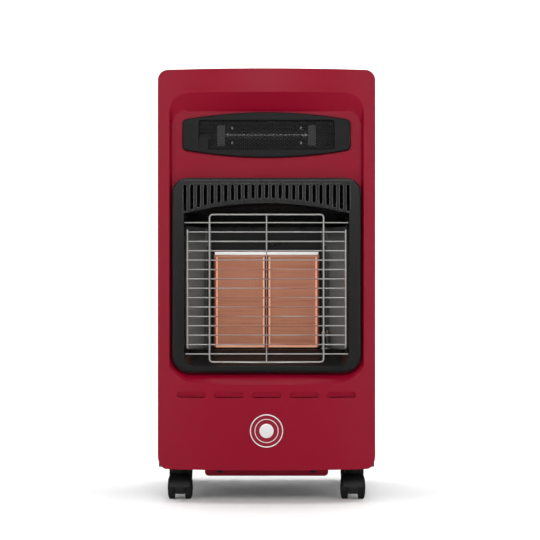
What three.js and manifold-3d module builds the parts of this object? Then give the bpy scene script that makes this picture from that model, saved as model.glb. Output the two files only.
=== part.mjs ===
// Portable cabinet heater: a gas radiant burner low in the front and an electric
// quartz element above it, in a steel cabinet on castors with room for a gas bottle.
// Millimetres, +Z up, the front faces -Y, the origin is on the floor under the middle.

import * as THREE from 'three';
import { mergeVertices } from 'three/addons/utils/BufferGeometryUtils.js';
import Module from 'manifold-3d';

// ---------------------------------------------------------------- driving sizes

// Whole cabinet
const WIDTH = 370;
const DEPTH = 420;
const HEIGHT = 735;
const SHEET = 1.2;            // pressed steel
const GAP = 0.3;              // between two pieces that touch
const FLANGE = 14;            // width of a folded edge of the cabinet panels

// Red front panel
const BOW = 28;               // how far the middle of the front stands out
const PANEL_BOTTOM = 57;
const PANEL_RETURN = 32;      // depth of the folded sides behind the corner
const PANEL_LIP = 13;         // inward lip at the back of the folded sides
const TOP_CORNER = 17;
const FOOT_CORNER_WIDTH = 15;
const FOOT_CORNER_HEIGHT = 24;
const FIELD_SET_BACK = 4;     // flat field behind the plane of the corners
const FIELD_SIDE_BAND = 24;   // between the field and the side of the cabinet
const FIELD_TOP_DROP = 70;    // upper edge of the flat field below the top
const FIELD_BOTTOM = 219;
const FIELD_CORNER_TOP = 25;
const FIELD_CORNER_BOTTOM = 30;
const SLOPE_TOP = 0.94;       // rise of the recess walls for each mm forward
const SLOPE_SIDE = 0.34;
const SLOPE_BOTTOM = 0.55;
const TAB_HALF = 106;         // fixing tab under the bottom edge
const TAB_DROP = 15;
const TAB_CORNER = 7;
const TAB_HOLE_SPREAD = 80;
const TAB_HOLE_WIDTH = 10;
const TAB_HOLE_HEIGHT = 5;

// Louvres in the lower front
const LOUVRE_COUNT = 5;
const LOUVRE_PITCH = 63.5;
const LOUVRE_WIDTH = 50;
const LOUVRE_HEIGHT = 10;
const LOUVRE_BOTTOM = 179;
const LOUVRE_DEPTH = 3.6;
const LOUVRE_SLIT = 3;

// Round badge place
const BADGE_RADIUS = 28.2;
const BADGE_HEIGHT = 123.7;
const BADGE_RISE = 2;
const BADGE_RIM = 3.4;
const BADGE_GROOVE = 0.9;

// Black surround of the gas fire
const SURROUND_PROUD = 20;
const SURROUND_WALL = 2.2;
const SURROUND_CLEAR = 0.7;   // to the wall of the recess
const SURROUND_BOTTOM = 221;
const SURROUND_DROP = 73.7;   // top of the surround below the middle of the window
const SURROUND_CORNER_TOP = 26;
const SURROUND_CORNER_BOTTOM = 30;
const FIRE_HALF = 137;        // fire opening, at the back of its funnel
const FIRE_BOTTOM = 247.5;
const FIRE_DROP = 63.5;       // top of the opening's sides below the top of the surround
const FIRE_ARCH = 17.5;       // extra height in the middle
const FIRE_CORNER = 20;
const FUNNEL_DEPTH = 31;
const FUNNEL_SLOPE_BOTTOM = 0.52;
const FUNNEL_SLOPE_SIDE = 0.1;
const SLOT_COUNT = 25;
const SLOT_PITCH = 11.5;
const SLOT_WIDTH = 5.6;
const SLOT_DROP = 11.6;       // below the top of the surround
const SLOT_LENGTH = 23.4;
const SLOT_ARCH = 22;         // how much lower the outermost slots reach

// Wire guard
const WIRE = 3;
const GUARD_DEPTH = 8;        // behind the face of the surround
const GUARD_RING_HALF = 96.6;
const GUARD_RING_RISE = 1.5;  // above the sides of the fire opening
const GUARD_RING_BOTTOM = 239;
const GUARD_RING_CORNER = 7;
const GUARD_SIDE = 134;
const GUARD_SIDE_DROP = 24;   // below them
const GUARD_SIDE_BOTTOM = 263;
const GUARD_ROWS = 15;
const GUARD_ROW_DROP = 12.2;
const GUARD_ROW_BOTTOM = 252.6;

// Gas burner
const PLAQUE_WIDTH = 84.9;
const PLAQUE_DROP = 67.5;     // top of the plaques below the top of the opening's sides
const PLAQUE_THICK = 13;
const PLAQUE_GAP = 9;
const PLAQUE_BOTTOM = 263;
const PLAQUE_SET_BACK = 52;   // behind the flat field
const PLAQUE_GROOVES = 3;     // pressed across each plaque
const FRAME_LAP = 2;          // frame over the edge of a plaque
const STRIP_HEIGHT = 5;
const STRIP_PROUD = 3.5;
const CHAMBER_DEPTH = 15;
const CHAMBER_RIM = 3;
const VENTURI_RADIUS = 6.5;
const VENTURI_WALL = 1;
const VENTURI_LENGTH = 92;
const VENTURI_AXIS_DROP = 25; // below the plaques
const SHELF_DROP = 4;         // floor of the fire below the plaques
const HOOD_RISE = 50;         // roof of the fire above the plaques, at the back
const SHELF_FLANGE = 6;
const SHELF_LEVEL = 22;       // level part of the floor in front of the plaques
const REFLECTOR_INNER = 106;
const REFLECTOR_FLANGE = 11;
const INJECTOR_HEX = 7.4;
const INJECTOR_LENGTH = 14;
const PIPE_RADIUS = 2.5;
const PIPE_BEND = 5.8;
const PILOT_PIPE = 2;
const PILOT_PIPE_DROP = 13;   // below the mixing tube
const PILOT_X = 98;
const PILOT_FORWARD = 5;      // in front of the back of the plaques
const PILOT_RADIUS = 4;
const LEAD_RADIUS = 1.2;
const PROBE_LENGTH = 32;
const PROBE_TIP = 9;          // slimmer end of the probe
const LEAD_DROP = 11;         // below the floor of the fire
const LEAD_X = 105.5;
const TIP_RADIUS = 2.2;
const ELECTRODE_RADIUS = 2.4;
const ELECTRODE_PITCH = 9;
const VALVE_RADIUS = 14;
const VALVE_PORT = 3;
const VALVE_LENGTH = 45;
const PILOT_PORT_OFFSET = 9;
const BARBS = 3;

// Electric element
const WINDOW_HALF = 143;
const WINDOW_DROP = 110.3;    // middle of the window below the top
const WINDOW_SIDE_HALF_HEIGHT = 27;
const WINDOW_ARCH = 11.7;     // extra half height in the middle
const WINDOW_CORNER = 8;
const WINDOW_PROUD = 6;
const MESH_HALF = 115;
const MESH_HALF_HEIGHT = 25;
const MESH_THICK = 1;
const MESH_PITCH_X = 23;
const MESH_PITCH_Z = 12.5;
const MESH_BAR = 1.6;
const TUBE_RADIUS = 7;
const TUBE_LENGTH = 158;
const HOLDER_LENGTH = 13;
const HOLDER_SOCKET = 8;      // how far the tube goes into its holder
const HOLDER_HEIGHT = 35;
const HOLDER_DEPTH = 20;
const TROUGH_DEPTH = 44;
const TROUGH_HALF_HEIGHT = 27;
const TROUGH_FLANGE = 9;
const TUBE_FORWARD = 14;      // axis of the tube behind the mouth of the trough

// Body of the cabinet
const BACK_COVER_DEPTH = 13.7;
const BACK_COVER_SIDE = 5;
const BACK_COVER_BOTTOM = 64;
const BACK_COVER_GAP = 4;     // under the top cover
const TOP_COVER_HEIGHT = 33;
const TOP_COVER_DROP = 2;     // top cover below the top edge of the front panel
const PLASTIC = 2;            // wall of the moulded pieces
const BACK_COVER_CORNER = 12;
const RIM_HEIGHT = 22;        // upturned edges of the base
const SIDE_SLOT_COUNT = 6;
const SIDE_SLOT_PITCH = 12;
const SIDE_SLOT_DROP = 28;    // below the top cover
const SIDE_SLOT_FRONT = -80;
const SIDE_SLOT_LENGTH = 70;
const SIDE_SLOT_HEIGHT = 5;
const BASE_VENT_COUNT = 6;
const BASE_VENT_PITCH = 36;
const BASE_VENT_FRONT = -60;
const BASE_VENT_LENGTH = 70;
const BASE_VENT_WIDTH = 10;
const AIR_SLOT_COUNT = 7;
const AIR_SLOT_PITCH = 40;
const AIR_SLOT_Z = 150;
const AIR_SLOT_WIDTH = 8;
const AIR_SLOT_HEIGHT = 44;
const BACK_SLOT_ROWS = 5;
const BACK_SLOT_PITCH = 14;
const BACK_SLOT_LOW = 104;
const BACK_SLOT_DROP = 106;   // lowest of the upper slots below the top of the back cover
const BACK_SLOT_LENGTH = 110;
const BACK_SLOT_GAP = 26;
const BACK_SLOT_HEIGHT = 6;
const TOP_SLOT_COUNT = 11;
const TOP_SLOT_PITCH = 26;
const TOP_SLOT_WIDTH = 7;
const TOP_SLOT_FRONT = -112;
const TOP_SLOT_LENGTH = 62;

// Control well in the top cover
const WELL_LEFT = -112;
const WELL_RIGHT = 160;
const WELL_FRONT = 96;
const WELL_BACK = 178;
const WELL_DEPTH = 21;
const WELL_CORNER = 12;
const KNOB_X = 128;
const KNOB_RADIUS = 20;
const KNOB_HEIGHT = 17;
const SPINDLE_RADIUS = 3;
const PUSH_TRAVEL = 3;
const IGNITER_X = 74;
const BUTTON_RADIUS = 9;
const SWITCH_X = [20, -30];
const SWITCH_HALF = 11;
const SWITCH_LENGTH = 30;
const CAN_HALF = 9.4;
const CAN_LENGTH = 26;
const ROCKER_HALF = 7.6;
const ROCKER_REACH = 11.4;
const ROCKER_TILT = 8;        // either side of level, degrees
const BUTTON_TRAVEL = 4.5;
const BUTTON_SINK = 8;        // foot of the button below the floor of the well
const IGNITER_LENGTH = 44;
const KNOB_FLUTES = 10;
const SPINDLE_FLAT = 1.8;
const COLLAR_HEIGHT = 2.4;
const INLET_X = -130;
const INLET_DROP = 17;        // below the top of the top cover
const INLET_HALF = 17;
const INLET_HIGH = 12;
const INLET_RIM = 4;
const INLET_DEPTH = 18;

// Castors
const CASTOR_FRONT_INSET = 35.8;   // stems in from the sides
const CASTOR_BACK_INSET = 24.5;
const CASTOR_FRONT_SET_BACK = 100; // stems from the front and from the back
const CASTOR_BACK_SET_BACK = 46;
const CASTOR_HEIGHT = 57;
const WHEEL_RADIUS = 20;
const WHEEL_WIDTH = 12.65;
const HOOD_RADIUS = 23.6;
const HOOD_WIDTH = 34.5;
const WEB_WIDTH = 17.4;
const WEB_BOTTOM = 10.4;
const TRAIL = 12;
const AXLE_RADIUS = 2.5;
const STEM_RADIUS = 5.5;

// ---------------------------------------------------------------- places worked out from them

const HALF = WIDTH / 2;
const CASTOR_FRONT_X = WIDTH / 2 - CASTOR_FRONT_INSET;
const CASTOR_BACK_X = WIDTH / 2 - CASTOR_BACK_INSET;
const CASTOR_FRONT_Y = -DEPTH / 2 + CASTOR_FRONT_SET_BACK;
const CASTOR_BACK_Y = DEPTH / 2 - CASTOR_BACK_SET_BACK;
const TOP_COVER_TOP = HEIGHT - TOP_COVER_DROP;
const TOP_COVER_BOTTOM = TOP_COVER_TOP - TOP_COVER_HEIGHT;
const BACK_COVER_TOP = TOP_COVER_BOTTOM - BACK_COVER_GAP;
const BACK_SLOT_HIGH = BACK_COVER_TOP - BACK_SLOT_DROP;
const SIDE_SLOT_TOP = TOP_COVER_BOTTOM - SIDE_SLOT_DROP;
const WELL_FLOOR = TOP_COVER_TOP - WELL_DEPTH;
const BUTTON_FOOT = WELL_FLOOR - BUTTON_SINK;
const INLET_Z = TOP_COVER_TOP - INLET_DROP;
const FIELD_TOP = HEIGHT - FIELD_TOP_DROP;
const WINDOW_MID = HEIGHT - WINDOW_DROP;
const SURROUND_TOP = WINDOW_MID - SURROUND_DROP;
const FIRE_SIDE_TOP = SURROUND_TOP - FIRE_DROP;
const FIRE_ARCH_TOP = FIRE_SIDE_TOP + FIRE_ARCH;
const SLOT_TOP = SURROUND_TOP - SLOT_DROP;
const SLOT_BOTTOM = SLOT_TOP - SLOT_LENGTH;
const GUARD_RING_TOP = FIRE_SIDE_TOP + GUARD_RING_RISE;
const GUARD_SIDE_TOP = FIRE_SIDE_TOP - GUARD_SIDE_DROP;
const GUARD_ROW_TOP = FIRE_SIDE_TOP - GUARD_ROW_DROP;
const BOW_FRONT = -DEPTH / 2 + BADGE_RISE;
const CORNER_Y = BOW_FRONT + BOW;
const BOW_RADIUS = (HALF ** 2 + BOW ** 2) / (2 * BOW);
const FIELD_Y = CORNER_Y + FIELD_SET_BACK;
const FIELD_BACK = FIELD_Y + SHEET;
const FIELD_HALF = HALF - FIELD_SIDE_BAND;
const PANEL_BACK = CORNER_Y + PANEL_RETURN;
const BODY_FRONT = PANEL_BACK + GAP;
const BODY_BACK = DEPTH / 2 - BACK_COVER_DEPTH - GAP;
const BASE_BOTTOM = CASTOR_HEIGHT + GAP;
const BASE_TOP = BASE_BOTTOM + SHEET;
const SURROUND_FACE = FIELD_Y - SURROUND_PROUD;
const SURROUND_BACK = FIELD_Y - GAP;
const SURROUND_HALF = FIELD_HALF - SURROUND_CLEAR;
const FUNNEL_BACK = SURROUND_FACE + FUNNEL_DEPTH;
const PLAQUE_FRONT = FIELD_Y + PLAQUE_SET_BACK;
const PLAQUE_BACK = PLAQUE_FRONT + PLAQUE_THICK;
const PLAQUE_INNER = PLAQUE_GAP / 2;
const PLAQUE_OUTER = PLAQUE_INNER + PLAQUE_WIDTH;
const PLAQUE_TOP = FIRE_SIDE_TOP - PLAQUE_DROP;
const PLAQUE_HEIGHT = PLAQUE_TOP - PLAQUE_BOTTOM;
const CHAMBER_FRONT = PLAQUE_BACK + GAP;
const CHAMBER_BACK = CHAMBER_FRONT + CHAMBER_DEPTH;
const CHAMBER_MIDDLE = (CHAMBER_FRONT + CHAMBER_BACK) / 2;
const CHAMBER_FLOOR = PLAQUE_BOTTOM - CHAMBER_RIM;
const PARTITION_FRONT = CHAMBER_BACK + GAP;
const PARTITION_BACK = PARTITION_FRONT + SHEET;
const SHELF_TOP = PLAQUE_BOTTOM - SHELF_DROP;
const VENTURI_Z = PLAQUE_BOTTOM - VENTURI_AXIS_DROP;
const INJECTOR_START = VENTURI_LENGTH + GAP;
const INJECTOR_END = INJECTOR_START + INJECTOR_LENGTH;
const PILOT_Y = PLAQUE_BACK - PILOT_FORWARD;
const LEAD_Y = PILOT_Y + 2;
const LEAD_LOW = SHELF_TOP - LEAD_DROP;
const WELL_UNDER = WELL_FLOOR - PLASTIC;
const CONTROL_Y = (WELL_FRONT + WELL_BACK) / 2;
const VALVE_BOTTOM = WELL_UNDER - VALVE_LENGTH;
const MAIN_PORT_Z = VALVE_BOTTOM + 17;
const PILOT_PORT_Z = VALVE_BOTTOM + 28;
const PROBE_PORT_Z = VALVE_BOTTOM + 24;
const COLLAR_RADIUS = SPINDLE_RADIUS + 2.4;
const SIDE_TOP = TOP_COVER_BOTTOM - GAP;

// ---------------------------------------------------------------- solid helpers

const wasm = await Module();
wasm.setup();

// A closed geometry, or a solid as it is, becomes a solid that can be joined and cut.
function solid(part) {
  if (!part.isBufferGeometry) return part;
  const bare = part.clone();
  bare.deleteAttribute('normal');
  bare.deleteAttribute('uv');
  const merged = mergeVertices(bare, 1e-4);
  return new wasm.Manifold(new wasm.Mesh({
    numProp: 3,
    vertProperties: Float32Array.from(merged.attributes.position.array),
    triVerts: Uint32Array.from(merged.index.array),
  }));
}

function join(...parts) {
  return parts.map(solid).reduce((whole, part) => whole.add(part));
}

function cut(body, ...tools) {
  return tools.map(solid).reduce((rest, tool) => rest.subtract(tool), solid(body));
}

function common(first, second) {
  return solid(first).intersect(solid(second));
}

function toGeometry(part) {
  if (part.isBufferGeometry) return part;
  const mesh = part.getMesh();
  const geometry = new THREE.BufferGeometry();
  geometry.setAttribute('position', new THREE.BufferAttribute(mesh.vertProperties, 3));
  geometry.setIndex(new THREE.BufferAttribute(mesh.triVerts, 1));
  geometry.computeVertexNormals();
  return geometry;
}

// A box between two corners.
function box(x0, x1, y0, y1, z0, z1) {
  const geometry = new THREE.BoxGeometry(x1 - x0, y1 - y0, z1 - z0);
  return geometry.translate((x0 + x1) / 2, (y0 + y1) / 2, (z0 + z1) / 2);
}

// Extrusions: a shape drawn in XZ runs along Y, one drawn in YZ along X, one in XY along Z.
function alongY(shape, y0, y1, curveSegments = 6) {
  const geometry = new THREE.ExtrudeGeometry(shape, { depth: y1 - y0, bevelEnabled: false, curveSegments });
  return geometry.rotateX(Math.PI / 2).translate(0, y1, 0);
}

function alongX(shape, x0, x1, curveSegments = 6) {
  const geometry = new THREE.ExtrudeGeometry(shape, { depth: x1 - x0, bevelEnabled: false, curveSegments });
  const turn = new THREE.Matrix4().makeBasis(
    new THREE.Vector3(0, 1, 0), new THREE.Vector3(0, 0, 1), new THREE.Vector3(1, 0, 0));
  return geometry.applyMatrix4(turn).translate(x0, 0, 0);
}

function alongZ(shape, z0, z1, curveSegments = 6) {
  const geometry = new THREE.ExtrudeGeometry(shape, { depth: z1 - z0, bevelEnabled: false, curveSegments });
  return geometry.translate(0, 0, z0);
}

// Polygon through the given [u, v] corners.
function polygon(corners) {
  return new THREE.Shape(corners.map(([u, v]) => new THREE.Vector2(u, v)));
}

// Section of a folded sheet: a line of corners given its thickness to the left of its run.
function folded(corners, thickness = SHEET) {
  const points = corners.map(([u, v]) => new THREE.Vector2(u, v));
  const normal = (i) => {
    const run = points[i + 1].clone().sub(points[i]).normalize();
    return new THREE.Vector2(-run.y, run.x);
  };
  const offset = points.map((point, i) => {
    if (i === 0) return point.clone().addScaledVector(normal(0), thickness);
    if (i === points.length - 1) return point.clone().addScaledVector(normal(i - 1), thickness);
    const mitre = normal(i - 1).add(normal(i));
    return point.clone().addScaledVector(mitre, 2 * thickness / mitre.lengthSq());
  });
  return new THREE.Shape([...points, ...offset.reverse()]);
}

// Rectangle with one radius for the upper and one for the lower corners.
function roundedRect(u0, v0, u1, v1, upper, lower = upper) {
  const shape = new THREE.Shape();
  shape.moveTo(u0 + lower, v0);
  shape.lineTo(u1 - lower, v0);
  if (lower > 0) shape.absarc(u1 - lower, v0 + lower, lower, -Math.PI / 2, 0, false);
  shape.lineTo(u1, v1 - upper);
  if (upper > 0) shape.absarc(u1 - upper, v1 - upper, upper, 0, Math.PI / 2, false);
  shape.lineTo(u0 + upper, v1);
  if (upper > 0) shape.absarc(u0 + upper, v1 - upper, upper, Math.PI / 2, Math.PI, false);
  shape.lineTo(u0, v0 + lower);
  if (lower > 0) shape.absarc(u0 + lower, v0 + lower, lower, Math.PI, 1.5 * Math.PI, false);
  return shape;
}

// Points of an outline, without the doubles where its stretches meet.
function outlinePoints(shape, curveSegments) {
  const { shape: points } = shape.extractPoints(curveSegments);
  return points.filter((p, i) => p.distanceTo(points[(i + points.length - 1) % points.length]) > 1e-3);
}

// Long hole with bevelled ends, between two corners of its bounds.
function slotOutline(u0, v0, u1, v1) {
  const c = Math.min(u1 - u0, v1 - v0) * 0.3;
  return polygon([
    [u0 + c, v0], [u1 - c, v0], [u1, v0 + c], [u1, v1 - c], [u1 - c, v1], [u0 + c, v1], [u0, v1 - c], [u0, v0 + c]]);
}

// Closed solid through XZ outlines with as many points each, given as [shape, depth] pairs.
function loftY(sections, curveSegments = 6) {
  const rings = sections.map(([shape, y]) => ({ points: outlinePoints(shape, curveSegments), y }));
  const count = rings[0].points.length;
  const last = rings.length - 1;
  const positions = [];
  rings.forEach(({ points, y }) => points.forEach((p) => positions.push(p.x, y, p.y)));
  const faces = [];
  for (let ring = 0; ring < last; ring += 1) {
    for (let i = 0; i < count; i += 1) {
      const a = ring * count + i;
      const b = ring * count + (i + 1) % count;
      faces.push([a, b, b + count], [a, b + count, a + count]);
    }
  }
  THREE.ShapeUtils.triangulateShape(rings[0].points, []).forEach(([a, b, c]) => faces.push([a, c, b]));
  THREE.ShapeUtils.triangulateShape(rings[last].points, [])
    .forEach((face) => faces.push(face.map((i) => last * count + i)));
  const outward = (THREE.ShapeUtils.area(rings[0].points) > 0) === (rings[0].y > rings[last].y);
  const geometry = new THREE.BufferGeometry();
  geometry.setAttribute('position', new THREE.Float32BufferAttribute(positions, 3));
  geometry.setIndex(faces.flatMap(([a, b, c]) => (outward ? [a, b, c] : [a, c, b])));
  return geometry;
}

// A block between two depths whose edges at faceY are rounded; outlineAt(inset) gives its outline.
function roundedFaceBlock(outlineAt, backY, faceY, radius, steps = 3, curveSegments = 3) {
  const sections = [[outlineAt(0), backY]];
  for (let step = 0; step <= steps; step += 1) {
    const angle = Math.PI / 2 * step / steps;
    const behind = Math.sign(backY - faceY) * radius * (1 - Math.sin(angle));
    sections.push([outlineAt(radius * (1 - Math.cos(angle))), faceY + behind]);
  }
  return loftY(sections, curveSegments);
}

// Solid of revolution: [radius, height] pairs from axis to axis, about Z.
function turned(profile, segments = 20) {
  const points = profile.map(([radius, height]) => new THREE.Vector2(radius, height));
  return new THREE.LatheGeometry(points, segments).rotateX(Math.PI / 2);
}

function cylinder(radius, z0, z1, segments = 20) {
  return turned([[0, z0], [radius, z0], [radius, z1], [0, z1]], segments);
}

// The same, turned to run along X.
function toX(geometry) {
  return geometry.rotateY(Math.PI / 2);
}

// A path of straight runs with round bends, with stations only where it turns.
class BentPath extends THREE.Curve {
  constructor(corners, bendRadius, bendSteps = 4) {
    super();
    const points = corners.map(([x, y, z]) => new THREE.Vector3(x, y, z));
    this.stations = [];
    const last = points.length - 1;
    const direction = (i) => points[i + 1].clone().sub(points[i]).normalize();
    this.stations.push({ point: points[0], tangent: direction(0) });
    for (let i = 1; i < last; i += 1) {
      const before = direction(i - 1);
      const after = direction(i);
      const turn = before.angleTo(after);
      const reach = bendRadius * Math.tan(turn / 2);
      const start = points[i].clone().addScaledVector(before, -reach);
      const inward = after.clone().addScaledVector(before, -after.dot(before)).normalize();
      for (let step = 0; step <= bendSteps; step += 1) {
        const angle = turn * step / bendSteps;
        const point = start.clone()
          .addScaledVector(before, bendRadius * Math.sin(angle))
          .addScaledVector(inward, bendRadius * (1 - Math.cos(angle)));
        const tangent = before.clone().multiplyScalar(Math.cos(angle))
          .addScaledVector(inward, Math.sin(angle));
        this.stations.push({ point, tangent });
      }
    }
    this.stations.push({ point: points[last], tangent: direction(last - 1) });
  }

  get steps() {
    return this.stations.length - 1;
  }

  getPoint(t) {
    return this.stations[Math.round(t * this.steps)].point.clone();
  }

  getPointAt(t) {
    return this.getPoint(t);
  }

  getTangentAt(t) {
    return this.stations[Math.round(t * this.steps)].tangent.clone();
  }
}

// Round rod or pipe along a bent path.
function rod(corners, radius, bendRadius, sides = 8, bendSteps = 4) {
  const extrudePath = new BentPath(corners, bendRadius, bendSteps);
  const section = new THREE.Shape();
  for (let i = 0; i < sides; i += 1) {
    const angle = 2 * Math.PI * (i + 0.5) / sides;
    const u = radius * Math.cos(angle);
    const v = radius * Math.sin(angle);
    if (i === 0) section.moveTo(u, v);
    else section.lineTo(u, v);
  }
  section.closePath();
  return new THREE.ExtrudeGeometry(section, { steps: extrudePath.steps, extrudePath, bevelEnabled: false });
}

// ---------------------------------------------------------------- finishes

const heater = new THREE.Group();

function finish(color, roughness, metalness) {
  return () => new THREE.MeshStandardMaterial({ color, roughness, metalness });
}

const redPaint = finish(0x93243a, 0.45, 0.1);
const blackPaint = finish(0x262626, 0.5, 0.1);
const blackPlastic = finish(0x2b2b2b, 0.6, 0);
const darkEnamel = finish(0x1c1c1c, 0.4, 0.2);
const greySteel = finish(0x8b8b8b, 0.4, 0.9);
const brightWire = finish(0xc9c9c9, 0.25, 1);
const brass = finish(0xb58b45, 0.35, 0.9);
const copper = finish(0xb06a45, 0.35, 0.9);
const plaqueClay = finish(0x95685a, 0.9, 0);
const whiteCeramic = finish(0xd8d2c6, 0.7, 0);
const quartz = finish(0x6a6a6a, 0.1, 0);

function add(name, part, material, parent = heater) {
  const mesh = new THREE.Mesh(toGeometry(part), material());
  mesh.name = name;
  parent.add(mesh);
  return mesh;
}

// ---------------------------------------------------------------- red front panel

// Plan of the bowed front, drawn in XY from the bow back to backY.
function bowPlan(inset, backY) {
  const half = HALF - inset;
  const radius = BOW_RADIUS - inset;
  const reach = Math.asin(half / radius);
  const shape = new THREE.Shape();
  shape.moveTo(-half, backY);
  shape.lineTo(half, backY);
  shape.absarc(0, BOW_FRONT + BOW_RADIUS, radius, -Math.PI / 2 + reach, -Math.PI / 2 - reach, true);
  return shape;
}

// Front elevation of the panel, with taller corners at the foot.
function panelOutline(inset) {
  const half = HALF - inset;
  const bottom = PANEL_BOTTOM + inset;
  const top = HEIGHT - inset;
  const upper = Math.max(TOP_CORNER - inset, 1);
  const wide = Math.max(FOOT_CORNER_WIDTH - inset, 1);
  const high = Math.max(FOOT_CORNER_HEIGHT - inset, 1);
  const quarter = Math.PI / 2;
  const shape = new THREE.Shape();
  shape.moveTo(-half + wide, bottom);
  shape.lineTo(half - wide, bottom);
  shape.absellipse(half - wide, bottom + high, wide, high, -quarter, 0, false);
  shape.lineTo(half, top - upper);
  shape.absarc(half - upper, top - upper, upper, 0, quarter, false);
  shape.lineTo(-half + upper, top);
  shape.absarc(-half + upper, top - upper, upper, quarter, 2 * quarter, false);
  shape.lineTo(-half, bottom + high);
  shape.absellipse(-half + wide, bottom + high, wide, high, 2 * quarter, 3 * quarter, false);
  return shape;
}

function panelBlock(inset, backY) {
  const elevation = alongY(panelOutline(inset), BOW_FRONT - PANEL_RETURN, backY, 3);
  return common(elevation, alongZ(bowPlan(inset, backY + PANEL_RETURN), 0, 2 * HEIGHT, 9));
}

// The recess is a pan with sloped walls; grow gives the outside of the same pan.
function recessOutline(forward, grow) {
  const spread = (slope) => slope * forward + grow * Math.hypot(1, slope);
  const half = FIELD_HALF + spread(SLOPE_SIDE);
  return roundedRect(
    -half, FIELD_BOTTOM - spread(SLOPE_BOTTOM), half, FIELD_TOP + spread(SLOPE_TOP),
    FIELD_CORNER_TOP + spread(SLOPE_SIDE), FIELD_CORNER_BOTTOM + spread(SLOPE_SIDE));
}

function recess(grow) {
  const reach = FIELD_Y - BOW_FRONT + PANEL_LIP;
  return loftY([[recessOutline(-grow, grow), FIELD_Y + grow], [recessOutline(reach, grow), FIELD_Y - reach]], 3);
}

// Turns a piece drawn at the middle of the bow to the place x along the bow.
function alongBow(geometry, x) {
  const centre = BOW_FRONT + BOW_RADIUS;
  return geometry.translate(0, -centre, 0).rotateZ(Math.asin(x / BOW_RADIUS)).translate(0, centre, 0);
}

// One pressed louvre: the pushed-in metal, the pocket in front of it and the slit along its foot.
function louvre(x) {
  const face = BOW_FRONT;
  const deep = face + LOUVRE_DEPTH;
  const foot = LOUVRE_BOTTOM;
  const head = LOUVRE_BOTTOM + LOUVRE_HEIGHT;
  const knee = foot + LOUVRE_SLIT;
  const half = LOUVRE_WIDTH / 2;
  const root = face + 0.6 * SHEET;
  const pushed = alongX(polygon([
    [root, foot - SHEET], [deep + SHEET, foot - SHEET], [deep + SHEET, knee + SHEET],
    [face + 1.5 * SHEET, head + SHEET], [root, head + SHEET]]), -half - SHEET, half + SHEET);
  const hollow = alongX(polygon([
    [face - PANEL_LIP, foot], [deep, foot], [deep, knee], [face, head], [face - PANEL_LIP, head]]), -half, half);
  const ends = alongY(roundedRect(-half, foot, half, head, LOUVRE_HEIGHT / 2, LOUVRE_SLIT), face - PANEL_LIP, deep, 1);
  const slit = box(-half + LOUVRE_SLIT, half - LOUVRE_SLIT, face, deep + 2 * SHEET, foot, knee);
  const pocket = toGeometry(join(common(hollow, ends), slit));
  return { metal: alongBow(pushed, x), pocket: alongBow(pocket, x) };
}

function surroundHole() {
  const edge = 10;
  return alongY(roundedRect(
    -SURROUND_HALF + edge, SURROUND_BOTTOM + edge, SURROUND_HALF - edge, SURROUND_TOP - edge,
    SURROUND_CORNER_TOP - edge, SURROUND_CORNER_BOTTOM - edge), FIELD_Y - SHEET, FIELD_BACK + SHEET, 2);
}

function windowHole() {
  const half = MESH_HALF - 1;
  const high = MESH_HALF_HEIGHT - 1;
  return alongY(roundedRect(-half, WINDOW_MID - high, half, WINDOW_MID + high, 4), FIELD_Y - SHEET, FIELD_BACK + SHEET, 2);
}

function frontPanel() {
  const louvres = [];
  for (let i = 0; i < LOUVRE_COUNT; i += 1) {
    louvres.push(louvre((i - (LOUVRE_COUNT - 1) / 2) * LOUVRE_PITCH));
  }
  const skin = cut(panelBlock(0, PANEL_BACK), recess(0));
  const inside = cut(panelBlock(SHEET, PANEL_BACK - SHEET), recess(SHEET));
  const lipHole = alongY(panelOutline(SHEET + PANEL_LIP), PANEL_BACK - 2 * SHEET, PANEL_BACK + SHEET, 2);
  const tab = alongY(
    roundedRect(-TAB_HALF, PANEL_BOTTOM - TAB_DROP, TAB_HALF, PANEL_BOTTOM + PANEL_LIP / 2, 0, TAB_CORNER),
    PANEL_BACK - SHEET, PANEL_BACK, 2);
  const tabHoles = [-1, 1].map((side) => alongY(roundedRect(
    side * TAB_HOLE_SPREAD - TAB_HOLE_WIDTH / 2, PANEL_BOTTOM - TAB_DROP / 2 - TAB_HOLE_HEIGHT / 2,
    side * TAB_HOLE_SPREAD + TAB_HOLE_WIDTH / 2, PANEL_BOTTOM - TAB_DROP / 2 + TAB_HOLE_HEIGHT / 2,
    TAB_HOLE_HEIGHT / 2), PANEL_BACK - 2 * SHEET, PANEL_BACK + SHEET, 1));
  const formed = join(cut(skin, inside, lipHole), tab, ...louvres.map(({ metal }) => metal));
  return cut(formed, surroundHole(), windowHole(), ...tabHoles, ...louvres.map(({ pocket }) => pocket));
}

// Plain badge: a raised rim, an inner ring and a domed middle, its back following the bow.
function badge() {
  const back = BADGE_RISE;
  const top = back + BADGE_RISE;
  const floor = top - BADGE_GROOVE;
  const ring = BADGE_RADIUS - 2.5 * BADGE_RIM;
  const disc = turned([
    [0, 0], [BADGE_RADIUS, 0], [BADGE_RADIUS, floor], [BADGE_RADIUS - 0.8, top],
    [BADGE_RADIUS - BADGE_RIM, top], [BADGE_RADIUS - BADGE_RIM - 0.6, floor],
    [ring + 1, floor], [ring + 0.4, top - 0.3], [ring - 1, top - 0.3], [ring - 1.6, floor],
    [ring / 2, floor], [ring / 4, top - 0.2], [0, top]], 24)
    .rotateX(Math.PI / 2).translate(0, BOW_FRONT + back, BADGE_HEIGHT);
  return cut(disc, alongZ(bowPlan(-GAP, PANEL_BACK), BADGE_HEIGHT - 40, BADGE_HEIGHT + 40, 12));
}

// ---------------------------------------------------------------- black surround and guard

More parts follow.
